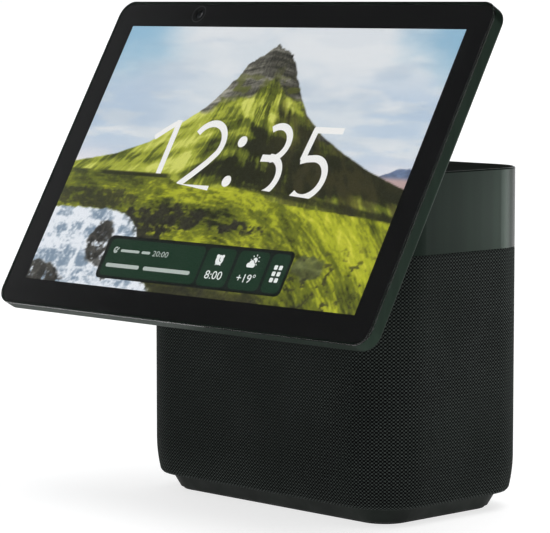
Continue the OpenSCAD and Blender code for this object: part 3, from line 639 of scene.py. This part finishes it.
def paint_near_ground(colour, u, v):
    top = outline(u, NEAR_GROUND)
    depth = top - v + 0.5 * (cloudy(u / 3, v / 3, 4, 61) - 0.5)
    run = v + 0.0042 * (u + 10) * np.abs(u + 10) * smooth(-30, 30, u)  # rows of grass follow the slope
    tufts = ridged(u / 11, run / 2.4, 5, 62)
    blades = cloudy(u / 1.9, run / 0.8, 4, 63)
    rolls = cloudy(u / 30 + 1, (run + 0.12 * u) / 7, 4, 66)
    sun = 0.36 + 0.5 * (tufts - 0.45) + 0.42 * (blades - 0.5) + 0.9 * (rolls - 0.5)
    sun = sun + 0.20 * smooth(10, 50, u) * smooth(-62, -40, v) - 0.16 * smooth(-36, -70, u)
    sun = sun + 0.16 * blot(u, v, (2, -19), (42, 5), 64, 0.3)
    grass = over(flat_colour(u, (0.095, 0.115, 0.035)), (0.400, 0.430, 0.100), smooth(0.02, 0.38, sun))
    grass = over(grass, (0.650, 0.675, 0.150), smooth(0.38, 0.66, sun))
    grass = over(grass, (0.790, 0.790, 0.260), smooth(0.66, 0.95, sun))
    dull = smooth(-30, -75, u) * 0.55 + 0.25 * smooth(-55, -68, v)
    grass = over(grass, (0.375, 0.400, 0.170), dull * smooth(0.75, 0.25, blades))
    colour = over(colour, grass, smooth(-0.3, 0.3, depth))

    foot = outline(u, [(-109, -11), (0, -11.5), (30, -15), (109, -24)])
    verge = smooth(2.2, 0.7, np.abs(v - foot)) * smooth(-14, 14, u) * (0.55 + 0.45 * smooth(0.3, 0.6, blades))
    wall = smooth(1.25, 0.7, np.abs(v + 10.3)) * smooth(-88, -84, u) * smooth(-37, -42, u)
    shade = np.clip(verge + wall, 0, 1)
    colour = over(colour, (0.135, 0.145, 0.060), shade * 0.9)
    furrow = smooth(0.86, 0.95, ridged(u / 34 + 2, run / 9, 3, 65)) * smooth(1, 6, depth)
    return over(colour, (0.240, 0.280, 0.060), furrow * 0.75)


def paint_rocks(colour, u, v):
    speckle = cloudy(u / 1.5, v / 1.2, 4, 71)
    dark = tinted(0.05 + 0.22 * speckle, (1.0, 1.0, 0.70))
    gully = blot(u, v, (-30, -31), (26, 5.5), 72, 0.7)
    gully = np.maximum(gully, blot(u, v, (-38, -38), (14, 10), 73, 0.5))
    gully = np.maximum(gully, blot(u, v, (18, -33), (14, 3.4), 74, 0.9))
    gully = np.maximum(gully, blot(u, v, (-82, -23.5), (26, 4.5), 75, 0.8) * 0.7)
    colour = over(colour, dark, gully * smooth(0.70, 0.50, cloudy(u / 3.4, v / 2.2, 4, 76)))
    boulder = tinted(0.20 + 0.30 * ridged(u / 6, v / 4, 4, 77), (0.98, 1.05, 0.66))
    colour = over(colour, boulder, blot(u, v, (71, -49), (10, 5.5), 78, 0.35) * 0.85)
    litter = smooth(0.60, 0.72, cloudy(u / 4, v / 2.6, 5, 70)) * smooth(-30, -52, v) * smooth(-20, 0, u)
    colour = over(colour, dark, litter * 0.8)
    ragged = 3 * (cloudy(u / 6, v / 4, 4, 79) - 0.5)
    bank = smooth(-60, -66, v + ragged) * smooth(-38, -20, u) * smooth(58, 40, u)
    return over(colour, dark, bank * 0.8)


def paint_snow(colour, u, v):
    edge = outline(u, SNOW_EDGE) + 2.6 * (cloudy(u / 4, v / 4, 5, 81) - 0.5)
    mask = smooth(-0.5, 0.5, edge - v) * smooth(-20, -24, u)
    folds = ridged(u / 12 + 0.6 * cloudy(u / 8, v / 8, 3, 82), v / 8, 5, 83)
    fine = cloudy(u / 1.6, v / 1.3, 4, 84)
    light = smooth(0.14, 0.66, folds + 0.7 * (fine - 0.5))
    snow = over(flat_colour(u, (0.485, 0.560, 0.635)), (0.895, 0.915, 0.940), light)
    rim = smooth(4.5, 0.8, edge - v) * smooth(0.62, 0.40, fine) * smooth(-60, -48, u)
    snow = over(snow, (0.260, 0.280, 0.270), rim * 0.8)
    stone = tinted(0.08 + 0.27 * ridged(u / 3.2, v / 3.8, 4, 85), (1.0, 0.98, 0.90))
    bare = blot(u, v, (-68, -45.5), (8, 10.5), 86, 0.3)
    bare = np.maximum(bare, blot(u, v, (-104, -66), (21, 7.5), 87, 0.4))
    bare = np.maximum(bare, blot(u, v, (-56, -55), (9, 7), 88, 0.7) * 0.8)
    snow = over(snow, stone, bare * smooth(0.80, 0.58, cloudy(u / 2.6, v / 2.6, 4, 89)))
    return over(colour, snow, mask)


def landscape(u, v):
    """sRGB colour of the painted landscape at each point."""
    colour = paint_sky(u, v)
    colour = paint_far_hills(colour, u, v)
    colour = paint_mountain(colour, u, v)
    colour = paint_near_ground(colour, u, v)
    colour = paint_rocks(colour, u, v)
    colour = paint_snow(colour, u, v)
    return np.clip(colour, 0, 1)


# ------------------------------------------------------------- cloth sleeve


def cloth_inset(z):
    """How far, in millimetres, the cloth has curved in at height z."""
    return max(0.0, CURVE_Z - z) ** 2 / (2 * CURVE_R)


def sleeve_profile():
    """(inset, height) pairs, in millimetres, from the cloth's top edge down and under its hem."""
    top = [(0.9, CLOTH_TOP - 0.05), (0.35, CLOTH_TOP - 0.1), (0.08, CLOTH_TOP - 0.45)]
    wall = [(cloth_inset(z), z) for z in np.linspace(CLOTH_TOP - 1.2, CLOTH_FOOT + 1.5, 106)]
    hem = cloth_inset(CLOTH_FOOT)
    under = [(hem + 0.25, CLOTH_FOOT + 0.7), (hem + 0.7, CLOTH_FOOT + 0.25), (hem + 1.4, CLOTH_FOOT)]
    return top + wall + under + [(HEM_IN, CLOTH_FOOT)]


def body_outline(step):
    """Points and outward normals round the speaker, about step millimetres apart, from the back's middle."""
    low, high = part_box("top_band")
    half_w, half_d = (high.x - low.x) / 2 / MM, (high.y - low.y) / 2 / MM
    flat_x, flat_y = half_w - CORNER_R, half_d - CORNER_R
    bend = [math.radians(a) for a in np.linspace(0, 90, round(CORNER_R * math.pi / 2 / step) + 1)]
    corners = [
        ((flat_x, flat_y), 90),
        ((flat_x, -flat_y), 0),
        ((-flat_x, -flat_y), -90),
        ((-flat_x, flat_y), 180),
    ]
    loop = []
    for (x, y), start in corners:
        for a in bend:
            turn = math.radians(start) - a
            normal = (math.cos(turn), math.sin(turn))
            loop.append(((x + CORNER_R * normal[0], y + CORNER_R * normal[1]), normal))
    ring = []
    for k, (point, normal) in enumerate(loop):
        ring.append((point, normal))
        following = loop[(k + 1) % len(loop)][0]
        gap = math.dist(point, following)
        if gap > 2 * step:
            pieces = 2 * round(gap / step / 2)
            for i in range(1, pieces):
                ring.append((tuple(np.array(point) + (np.array(following) - point) * i / pieces), normal))
    at_back = [k for k, (point, _) in enumerate(ring) if point[1] > 0]
    middle = min(at_back, key=lambda k: abs(ring[k][0][0]))
    return ring[middle:] + ring[:middle]


def to_port_edge(x, z):
    """The nearest point to (x, z) on the rounded edge of the port opening."""
    half_w, half_h = PORT_W / 2, PORT_H / 2
    side_x, side_z = math.copysign(1, x), math.copysign(1, z)
    x, z = abs(x), abs(z)
    corner_x, corner_z = half_w - PORT_R, half_h - PORT_R
    if x > corner_x and z > corner_z:
        reach = math.hypot(x - corner_x, z - corner_z)
        x, z = corner_x + (x - corner_x) * PORT_R / reach, corner_z + (z - corner_z) * PORT_R / reach
    elif half_w - x < half_h - z:
        x = half_w
    else:
        z = half_h
    return side_x * x, side_z * z


def in_port(x, z):
    """Whether a point is in the port opening, both from the opening's middle."""
    x, z = abs(x), abs(z)
    if x > PORT_W / 2 or z > PORT_H / 2:
        return False
    return math.hypot(max(0, x - PORT_W / 2 + PORT_R), max(0, z - PORT_H / 2 + PORT_R)) < PORT_R


def in_wide_port(edge):
    """Whether an edge lies in the port opening or close round it."""
    centre = (edge.verts[0].co + edge.verts[1].co) / 2 / MM
    return centre.y > 0 and abs(centre.x) < PORT_W / 2 + 2 and abs(centre.z - PORT_Z) < PORT_H / 2 + 2


def running_lengths(points):
    """How far each point lies along the line through them all."""
    lengths = [0.0]
    for a, b in zip(points, points[1:]):
        lengths.append(lengths[-1] + math.dist(a, b))
    return lengths


def lay_sleeve(build, ring, profile, along, down):
    """The sleeve's faces, apart from those in the port opening, with UVs in millimetres."""
    flat = build.loops.layers.uv.new("flat_mm")
    grid = []
    for inset, z in profile:
        places = [((p[0] - n[0] * inset) * MM, (p[1] - n[1] * inset) * MM, z * MM) for p, n in ring]
        grid.append([build.verts.new(place) for place in places])
    for j in range(len(profile) - 1):
        for i in range(len(ring)):
            k = (i + 1) % len(ring)
            square = (grid[j][i], grid[j + 1][i], grid[j + 1][k], grid[j][k])
            centre = sum((v.co for v in square), Vector()) / 4 / MM
            if centre.y > 0 and in_port(centre.x, centre.z - PORT_Z):
                continue
            face = build.faces.new(square)
            spots = ((i, j), (i, j + 1), (i + 1, j + 1), (i + 1, j))
            shift = along[-1] if along[i] >= along[-1] / 2 else 0.0  # the seam lies at 0 from both sides
            for loop, (column, row) in zip(face.loops, spots):
                loop[flat].uv = (along[column] - shift, -down[row])
    bmesh.ops.delete(build, geom=[v for v in build.verts if not v.link_faces], context="VERTS")


def trim_port(build):
    """Draws the edge of the port opening into its rounded shape and turns it in."""
    rim = [e for e in build.edges if e.is_boundary and in_wide_port(e)]
    for vert in {v for e in rim for v in e.verts}:
        x, z = to_port_edge(vert.co.x / MM, vert.co.z / MM - PORT_Z)
        vert.co.x, vert.co.z = x * MM, (z + PORT_Z) * MM
    turned = bmesh.ops.extrude_edge_only(build, edges=rim)
    for vert in (g for g in turned["geom"] if isinstance(g, bmesh.types.BMVert)):
        vert.co.y -= 0.6 * MM


def make_sleeve(cloth):
    """The knitted sleeve, which takes the place of the CAD node's cloth cover."""
    ring, profile = body_outline(1.0), sleeve_profile()
    along = running_lengths([point for point, _ in ring] + [ring[0][0]])
    down = running_lengths(profile)
    build = bmesh.new()
    lay_sleeve(build, ring, profile, along, down)
    trim_port(build)
    mesh = to_mesh(build, "cloth_sleeve")
    mesh.shade_smooth()
    mesh.materials.append(cloth)
    sleeve = new_object("cloth_sleeve", mesh)
    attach(sleeve, "speaker_body")
    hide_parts("fabric_cover")


# ----------------------------------------------------- pieces on the screen


def on_screen(name, mesh, material, replaced=()):
    """Puts a mesh drawn in the screen's frame, in metres, on the display."""
    mesh.materials.clear()
    mesh.materials.append(material)
    piece = new_object(name, mesh)
    piece.matrix_world = SCREEN
    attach(piece, "display")
    if replaced:
        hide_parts(*replaced)
    return piece


def paint_picture(height):
    """The lit picture: a fine grid of points with landscape() as their colours."""
    columns, rows = 394, 246
    u, v = np.meshgrid(
        np.linspace(-PICTURE_W / 2, PICTURE_W / 2, columns + 1),
        np.linspace(-PICTURE_H / 2, PICTURE_H / 2, rows + 1),
    )
    points = np.stack([u, v, np.full_like(u, height)], axis=-1).reshape(-1, 3) * MM
    first = (np.arange(rows)[:, None] * (columns + 1) + np.arange(columns)).reshape(-1)
    quads = np.stack([first, first + 1, first + columns + 2, first + columns + 1], axis=-1)
    mesh = bpy.data.meshes.new("picture_sheet")
    mesh.from_pydata(points.tolist(), [], quads.tolist())
    linear = to_linear(landscape(u, v).reshape(-1, 3))
    colours = mesh.color_attributes.new("paint", "FLOAT_COLOR", "POINT")
    colours.data.foreach_set("color", np.c_[linear, np.ones(len(linear))].astype(np.float32).ravel())
    on_screen("picture_sheet", mesh, painted_light("picture_light", "paint", 1.05))


def ribbon(points, width):
    """Corner points of a strip of that width along a line, as quads."""
    line = np.array(points, float)
    way = np.gradient(line, axis=0)
    way /= np.linalg.norm(way, axis=1)[:, None]
    side = np.c_[-way[:, 1], way[:, 0]] * width / 2
    left, right = line + side, line - side
    return [(left[k], left[k + 1], right[k + 1], right[k]) for k in range(len(line) - 1)]


def arc(centre, radius, start, end):
    """Points on an arc, its angles in degrees."""
    steps = max(6, round(abs(end - start) / 6))
    turns = np.radians(np.linspace(start, end, steps + 1))
    return [(centre[0] + radius * math.cos(t), centre[1] + radius * math.sin(t)) for t in turns]


def rounded_box(low, high, radius):
    """Outline of a rectangle with round corners."""
    (u0, v0), (u1, v1) = low, high
    left, right, bottom, top = u0 + radius, u1 - radius, v0 + radius, v1 - radius
    centres = ((right, top), (left, top), (left, bottom), (right, bottom))
    return [p for k, centre in enumerate(centres) for p in arc(centre, radius, 90 * k, 90 * k + 90)]


def disc(centre, radius):
    return arc(centre, radius, 0, 354)


def fill(shapes, x, y, z):
    """A bmesh of flat faces at height z, from outlines round x and y, all in millimetres."""
    build = bmesh.new()
    for shape in shapes:
        build.faces.new([build.verts.new(((x + p[0]) * MM, (y + p[1]) * MM, z * MM)) for p in shape])
    return build


def flat_piece(name, shapes, height, material, cut=None):
    """A thin printed or lit mark on the screen, from outlines in millimetres, height above the glass.

    cut is two points: what lies below the line through them is left out.
    """
    build = fill(shapes, 0, 0, height)
    if cut:
        (u0, v0), (u1, v1) = cut
        down = Vector((v1 - v0, u0 - u1, 0)) * (1 if u1 > u0 else -1)
        bmesh.ops.bisect_plane(
            build, geom=build.verts[:] + build.edges[:] + build.faces[:],
            plane_co=(u0 * MM, v0 * MM, 0), plane_no=down, clear_outer=True,
        )
    bmesh.ops.remove_doubles(build, verts=build.verts, dist=0.005 * MM)
    return on_screen(name, to_mesh(build, name), material)


def number_piece(name, text, low, high, height, material):
    """Numerals in Blender's own typeface, fitted between two corners."""
    curve = bpy.data.curves.new(name, "FONT")
    curve.body = text
    curve.resolution_u = 4
    typed = new_object(name + "_typed", curve)
    bpy.context.view_layer.update()
    mesh = bpy.data.meshes.new_from_object(typed)
    bpy.data.objects.remove(typed)
    points = np.array([v.co for v in mesh.vertices])[:, :2]
    start, end = points.min(0), points.max(0)
    low, high = np.array(low, float), np.array(high, float)
    placed = (points - start) / (end - start) * (high - low) + low
    for vert, (u, v) in zip(mesh.vertices, placed):
        vert.co = (u * MM, v * MM, height * MM)
    mesh.name = name
    return on_screen(name, mesh, material)


def clock_digits(white):
    """12:35 in thin strokes that stand behind the near ground of the landscape."""
    one = ribbon([(-47, -11), (-47, 18.4)], STROKE)
    flag = ribbon([(-46.2, 17.2), (-49.5, 15.9), (-54, 12.9), (-59.5, 8.9)], 2.9)
    flat_piece("digit_1", one + flag, DIGIT_N, white, cut=((-60, -9.4), (-40, -9.4)))
    bowl = arc((-22.3, 7.4), 10, 152, -28)
    two = ribbon([*bowl, (-17.5, -2.2), (-24, -8.4), (-31, -14.6)], STROKE)
    foot = ribbon([(-33, -15.2), (-10, -15.2)], 2.6)
    flat_piece("digit_2", two + foot, DIGIT_N, white, cut=((-34, -13.6), (-10, -16.2)))
    flat_piece("colon", [disc((0, 9), 2.8), disc((0, -11), 2.8)], DIGIT_N, white)
    upper = arc((21.2, 9.3), 8.2, 128, -84)
    lower = arc((21.6, -7.2), 9.3, 92, -120)
    bar = [(16.2, 1.5), (22.2, 1.5)]
    flat_piece(
        "digit_3", ribbon(upper, STROKE) + ribbon(bar, STROKE) + ribbon(lower, STROKE), DIGIT_N, white,
        cut=((10, -13.2), (40, -15.4)),
    )
    top = ribbon([(42.2, 16.6), (60.4, 16.6)], 3.1)
    stem = ribbon([(43.6, 17.6), (42.2, 1.6)], STROKE)
    belly = ribbon([(41.2, 1.2), (45, 2.3), *arc((49.6, -6.9), 9.6, 96, -128)], STROKE)
    flat_piece("digit_5", top + stem + belly, DIGIT_N, white, cut=((36, -15.4), (64, -17.2)))


def bars(starts_and_ends, v, thick):
    """Rounded bars that stand for words."""
    return [rounded_box((a, v - thick / 2), (b, v + thick / 2), thick / 2.05) for a, b in starts_and_ends]


def alarm_clock(centre, size):
    """Face with its two bells and two feet."""
    u, v = centre
    face = disc((u, v), size * 0.43)
    bells = [disc((u + s * size * 0.30, v + size * 0.33), size * 0.15) for s in (-1, 1)]
    feet = []
    for s in (-1, 1):
        heel = (u + s * size * 0.20, v - size * 0.3)
        toe = (u + s * size * 0.30, v - size * 0.46)
        feet += ribbon([heel, toe], size * 0.11)
    return [face, *bells, *feet]


def sun_and_cloud(centre, size):
    """A cloud in front of a small sun with rays."""
    u, v = centre
    sun = (u + size * 0.2, v + size * 0.14)
    rays = []
    for k in range(-1, 5):
        a = math.radians(45 * k - 5)
        way = (math.cos(a), math.sin(a))
        rays += ribbon(
            [(sun[0] + way[0] * size * r, sun[1] + way[1] * size * r) for r in (0.30, 0.41)], size * 0.07
        )
    puffs = [((-0.24, -0.20), 0.16), ((-0.02, -0.06), 0.21), ((0.20, -0.20), 0.15)]
    cloud = [disc((u + x * size, v + y * size), r * size) for (x, y), r in puffs]
    base = rounded_box((u - size * 0.30, v - size * 0.36), (u + size * 0.28, v - size * 0.16), size * 0.05)
    return [disc(sun, size * 0.2), *rays], [*cloud, base]


def note_card(pale):
    """A ticked ring with bars for its words and a time."""
    tick = ribbon([(-54.4, -49.2), (-53.4, -50), (-51.9, -47.9)], 0.7)
    mark = ribbon(arc((-53.6, -49.2), 1.25, 60, 330), 0.7) + tick
    flat_piece("note_mark", mark, MARK_N, pale)
    flat_piece("note_line_small", bars([(-50.2, -37.4), (-35.8, -30)], -49.3, 1.3), MARK_N, pale)
    number_piece("note_time", "20:00", (-28.2, -50.6), (-17.8, -47.9), MARK_N, pale)
    flat_piece("note_line_large", bars([(-56.4, -33.6), (-30.6, 0.6)], -56.9, 1.9), MARK_N, pale)


def alarm_card(card, white):
    """An alarm clock over its time."""
    flat_piece("alarm_mark", alarm_clock((16.1, -49.2), 5.6), MARK_N, white)
    hands = ribbon([(16.1, -48.0), (16.1, -49.4), (17.1, -50.0)], 0.42)
    flat_piece("alarm_hands", hands, TOP_MARK_N, card)
    number_piece("alarm_time", "8:00", (10.7, -58.6), (21.5, -54.6), MARK_N, white)


def weather_card(card, white):
    """A sun behind a cloud over a temperature."""
    sun, cloud = sun_and_cloud((36.8, -48.8), 7.0)
    flat_piece("sun_mark", sun, MARK_N, white)
    flat_piece("cloud_gap", [disc((36.66, -49.22), 1.85)], GAP_N, card)
    flat_piece("cloud_mark", cloud, TOP_MARK_N, white)
    number_piece("warm_degrees", "+19°", (31.0, -58.6), (42.4, -54.4), MARK_N, white)


def card_strip(tray, card, pale, white):
    """The row of four cards along the bottom of the picture."""
    flat_piece("card_tray", [rounded_box((-61, -63.6), (61, -42), 3)], TRAY_N, tray)
    cards = [(-58.8, 5.4), (6.9, 25.3), (27.2, 46.4), (48.2, 59.4)]
    for k, (u0, u1) in enumerate(cards):
        flat_piece(f"card_{k + 1}", [rounded_box((u0, -62.2), (u1, -43.6), 2.6)], CARD_N, card)
    note_card(pale)
    alarm_card(card, white)
    weather_card(card, white)
    squares = [
        rounded_box((u - 1.05, v - 1.05), (u + 1.05, v + 1.05), 0.45)
        for u in (52.5, 55.5)
        for v in (-50.1, -53.1, -56.1)
    ]
    flat_piece("menu_mark", squares, MARK_N, white)


def bezel(finishes):
    """The black print just behind the glass, copied from its CAD node, and the ring round the lens."""
    source = frame["nodes"]["bezel_mask"].data.copy()
    source.transform(SCREEN.inverted())
    source.transform(Matrix.Translation((0, 0, -0.02 * MM)))
    on_screen("bezel_sheet", source, finishes["bezel_print"], ("bezel_mask",))
    ring = moulded("camera_ring", tone(30, 34, 34), tone(40, 44, 44), 0.35, grain=0.2, depth=0.002)
    shapes = ribbon([*arc((LENS_U, LENS_V), 4.2, 0, 354), *arc((LENS_U, LENS_V), 4.2, 0, 6)], 0.5)
    flat_piece("camera_ring", shapes, RING_N, ring)


def key_mark(key, shapes, ink, groove=0.0):
    """Ink on the top of a key or in its groove, from outlines in millimetres round its middle."""
    low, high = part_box(key)
    x, y = (low.x + high.x) / 2 / MM, (low.y + high.y) / 2 / MM
    z = high.z / MM - groove + INK_T
    name = key.replace("button", "mark")
    mesh = to_mesh(fill(shapes, x, y, z), name)
    mesh.materials.append(ink)
    mark = new_object(name, mesh)
    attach(mark, key)


def key_marks():
    """The signs on the keys: a minus, a ring, a crossed-out microphone and a plus."""
    ink = moulded("key_print", tone(150, 155, 152), tone(172, 176, 174), 0.6, grain=0.2, depth=0.002)
    level = ribbon([(-2.25, 0), (2.25, 0)], 0.66)
    upright = ribbon([(0, -2.25), (0, 2.25)], 0.66)
    ring = ribbon(arc((0, 0), 2.25, 0, 360), 0.66)
    head = rounded_box((-0.75, -0.2), (0.75, 2.6), 0.74)
    cradle = ribbon(arc((0, 0.7), 1.7, 180, 360), 0.4)
    stalk = ribbon([(0, -1.0), (0, -2.2)], 0.4) + ribbon([(-1.0, -2.2), (1.0, -2.2)], 0.4)
    slash = ribbon([(-2.2, 2.6), (2.2, -2.2)], 0.42)
    key_mark("volume_down_button", level, ink, KEY_GROOVE)
    key_mark("action_button", ring, ink, KEY_GROOVE)
    key_mark("mic_mute_button", [head, *cradle, *stalk, *slash], ink)
    key_mark("volume_up_button", level + upright, ink, KEY_GROOVE)


# --------------------------------------------------- camera, light and floor


def make_camera():
    turn, drop = math.radians(CAMERA_TURN), math.radians(CAMERA_DROP)
    ahead = Vector((-math.sin(turn) * math.cos(drop), math.cos(turn) * math.cos(drop), -math.sin(drop)))
    data = bpy.data.cameras.new("camera")
    data.lens = CAMERA_LENS
    data.sensor_width = 36
    data.clip_start, data.clip_end = 0.05, 200
    camera = new_object("camera", data)
    camera.location = CAMERA_AT
    camera.rotation_euler = ahead.to_track_quat("-Z", "Y").to_euler()
    bpy.context.scene.camera = camera


def make_world():
    """Soft studio surroundings: a bright ceiling, a glow low on the left and one behind on the left."""
    world = bpy.data.worlds.new("studio")
    bpy.context.scene.world = world
    world.use_nodes = True
    tree = Nodes(world.node_tree)
    way = tree.node("TexCoord").outputs["Generated"]
    # Each glow: towards, the cosines where it starts and where it is full, and how bright it is.
    glows = [
        ((0.0, 0.0, 1.0), 0.66, 0.97, 1.3),
        ((-0.97, 0.02, 0.22), 0.83, 0.965, 1.0),
        ((-0.72, 0.69, 0.0), 0.86, 0.94, 1.0),
    ]
    light = 0.05
    for towards, start, full, bright in glows:
        dot = tree.node("VectorMath")
        dot.operation = "DOT_PRODUCT"
        tree.feed(dot.inputs[0], way)
        tree.feed(dot.inputs[1], Vector(towards).normalized())
        light = tree.math("ADD", tree.remap(dot.outputs["Value"], start, full, 0.0, bright), light)
    tree.feed(tree.nodes["Background"].inputs["Strength"], light)
    tree.feed(tree.nodes["Background"].inputs["Color"], (0.97, 0.985, 1.0, 1))


def add_lamp(name, kind, at, towards, power, **settings):
    data = bpy.data.lights.new(name, kind)
    data.energy = power
    for key, value in settings.items():
        setattr(data, key, value)
    lamp = new_object(name, data)
    lamp.location = at
    lamp.rotation_euler = (Vector(towards) - Vector(at)).to_track_quat("-Z", "Y").to_euler()
    return lamp


def make_lamps():
    middle = (0, 0, 0.08)
    add_lamp("ceiling_sun", "SUN", (0.5, 0.2, 3), middle, 1.2, angle=math.radians(50))
    edge = add_lamp(
        "edge_glow", "AREA", (0.128, 0.114, 0.130), (0.083, 0.030, 0.134), 0.043,
        shape="RECTANGLE", size=0.05, size_y=0.06,
    )
    edge.visible_camera = False


def make_floor():
    """A pale floor with a faint mottle, wide enough to reach the horizon."""
    mesh = bpy.data.meshes.new("floor")
    reach = 60.0
    corners = [(-reach, -reach, 0), (reach, -reach, 0), (reach, reach, 0), (-reach, reach, 0)]
    mesh.from_pydata(corners, [], [(0, 1, 2, 3)])
    finish = Finish("floor", Specular_IOR_Level=0.1, Emission_Strength=0.76)
    finish.shader.inputs["Emission Color"].default_value = (1, 1, 1, 1)
    finish.colour(finish.between(finish.noise(400, 2.0), (0.36, 0.36, 0.36), (0.39, 0.39, 0.39)))
    finish.roughness(finish.noise(200, 2.0), 0.8, 0.9)
    mesh.materials.append(finish.material)
    floor = new_object("floor", mesh)
    floor.location.z = -0.0001


make_camera()
strip()
finishes = make_finishes()
dress(finishes)
make_sleeve(finishes["cloth"])
bezel(finishes)
paint_picture(PICTURE_N)
digit_white = glowing("digit_light", tone(240, 240, 238), 1.03)
clock_digits(digit_white)
card_strip(
    glowing("tray_light", tone(1, 9, 4)),
    glowing("card_light", tone(12, 47, 27)),
    glowing("pale_light", tone(178, 188, 182)),
    glowing("mark_light", tone(236, 240, 238)),
)
key_marks()
make_world()
make_lamps()
make_floor()
bpy.context.scene.view_settings.view_transform = "Standard"
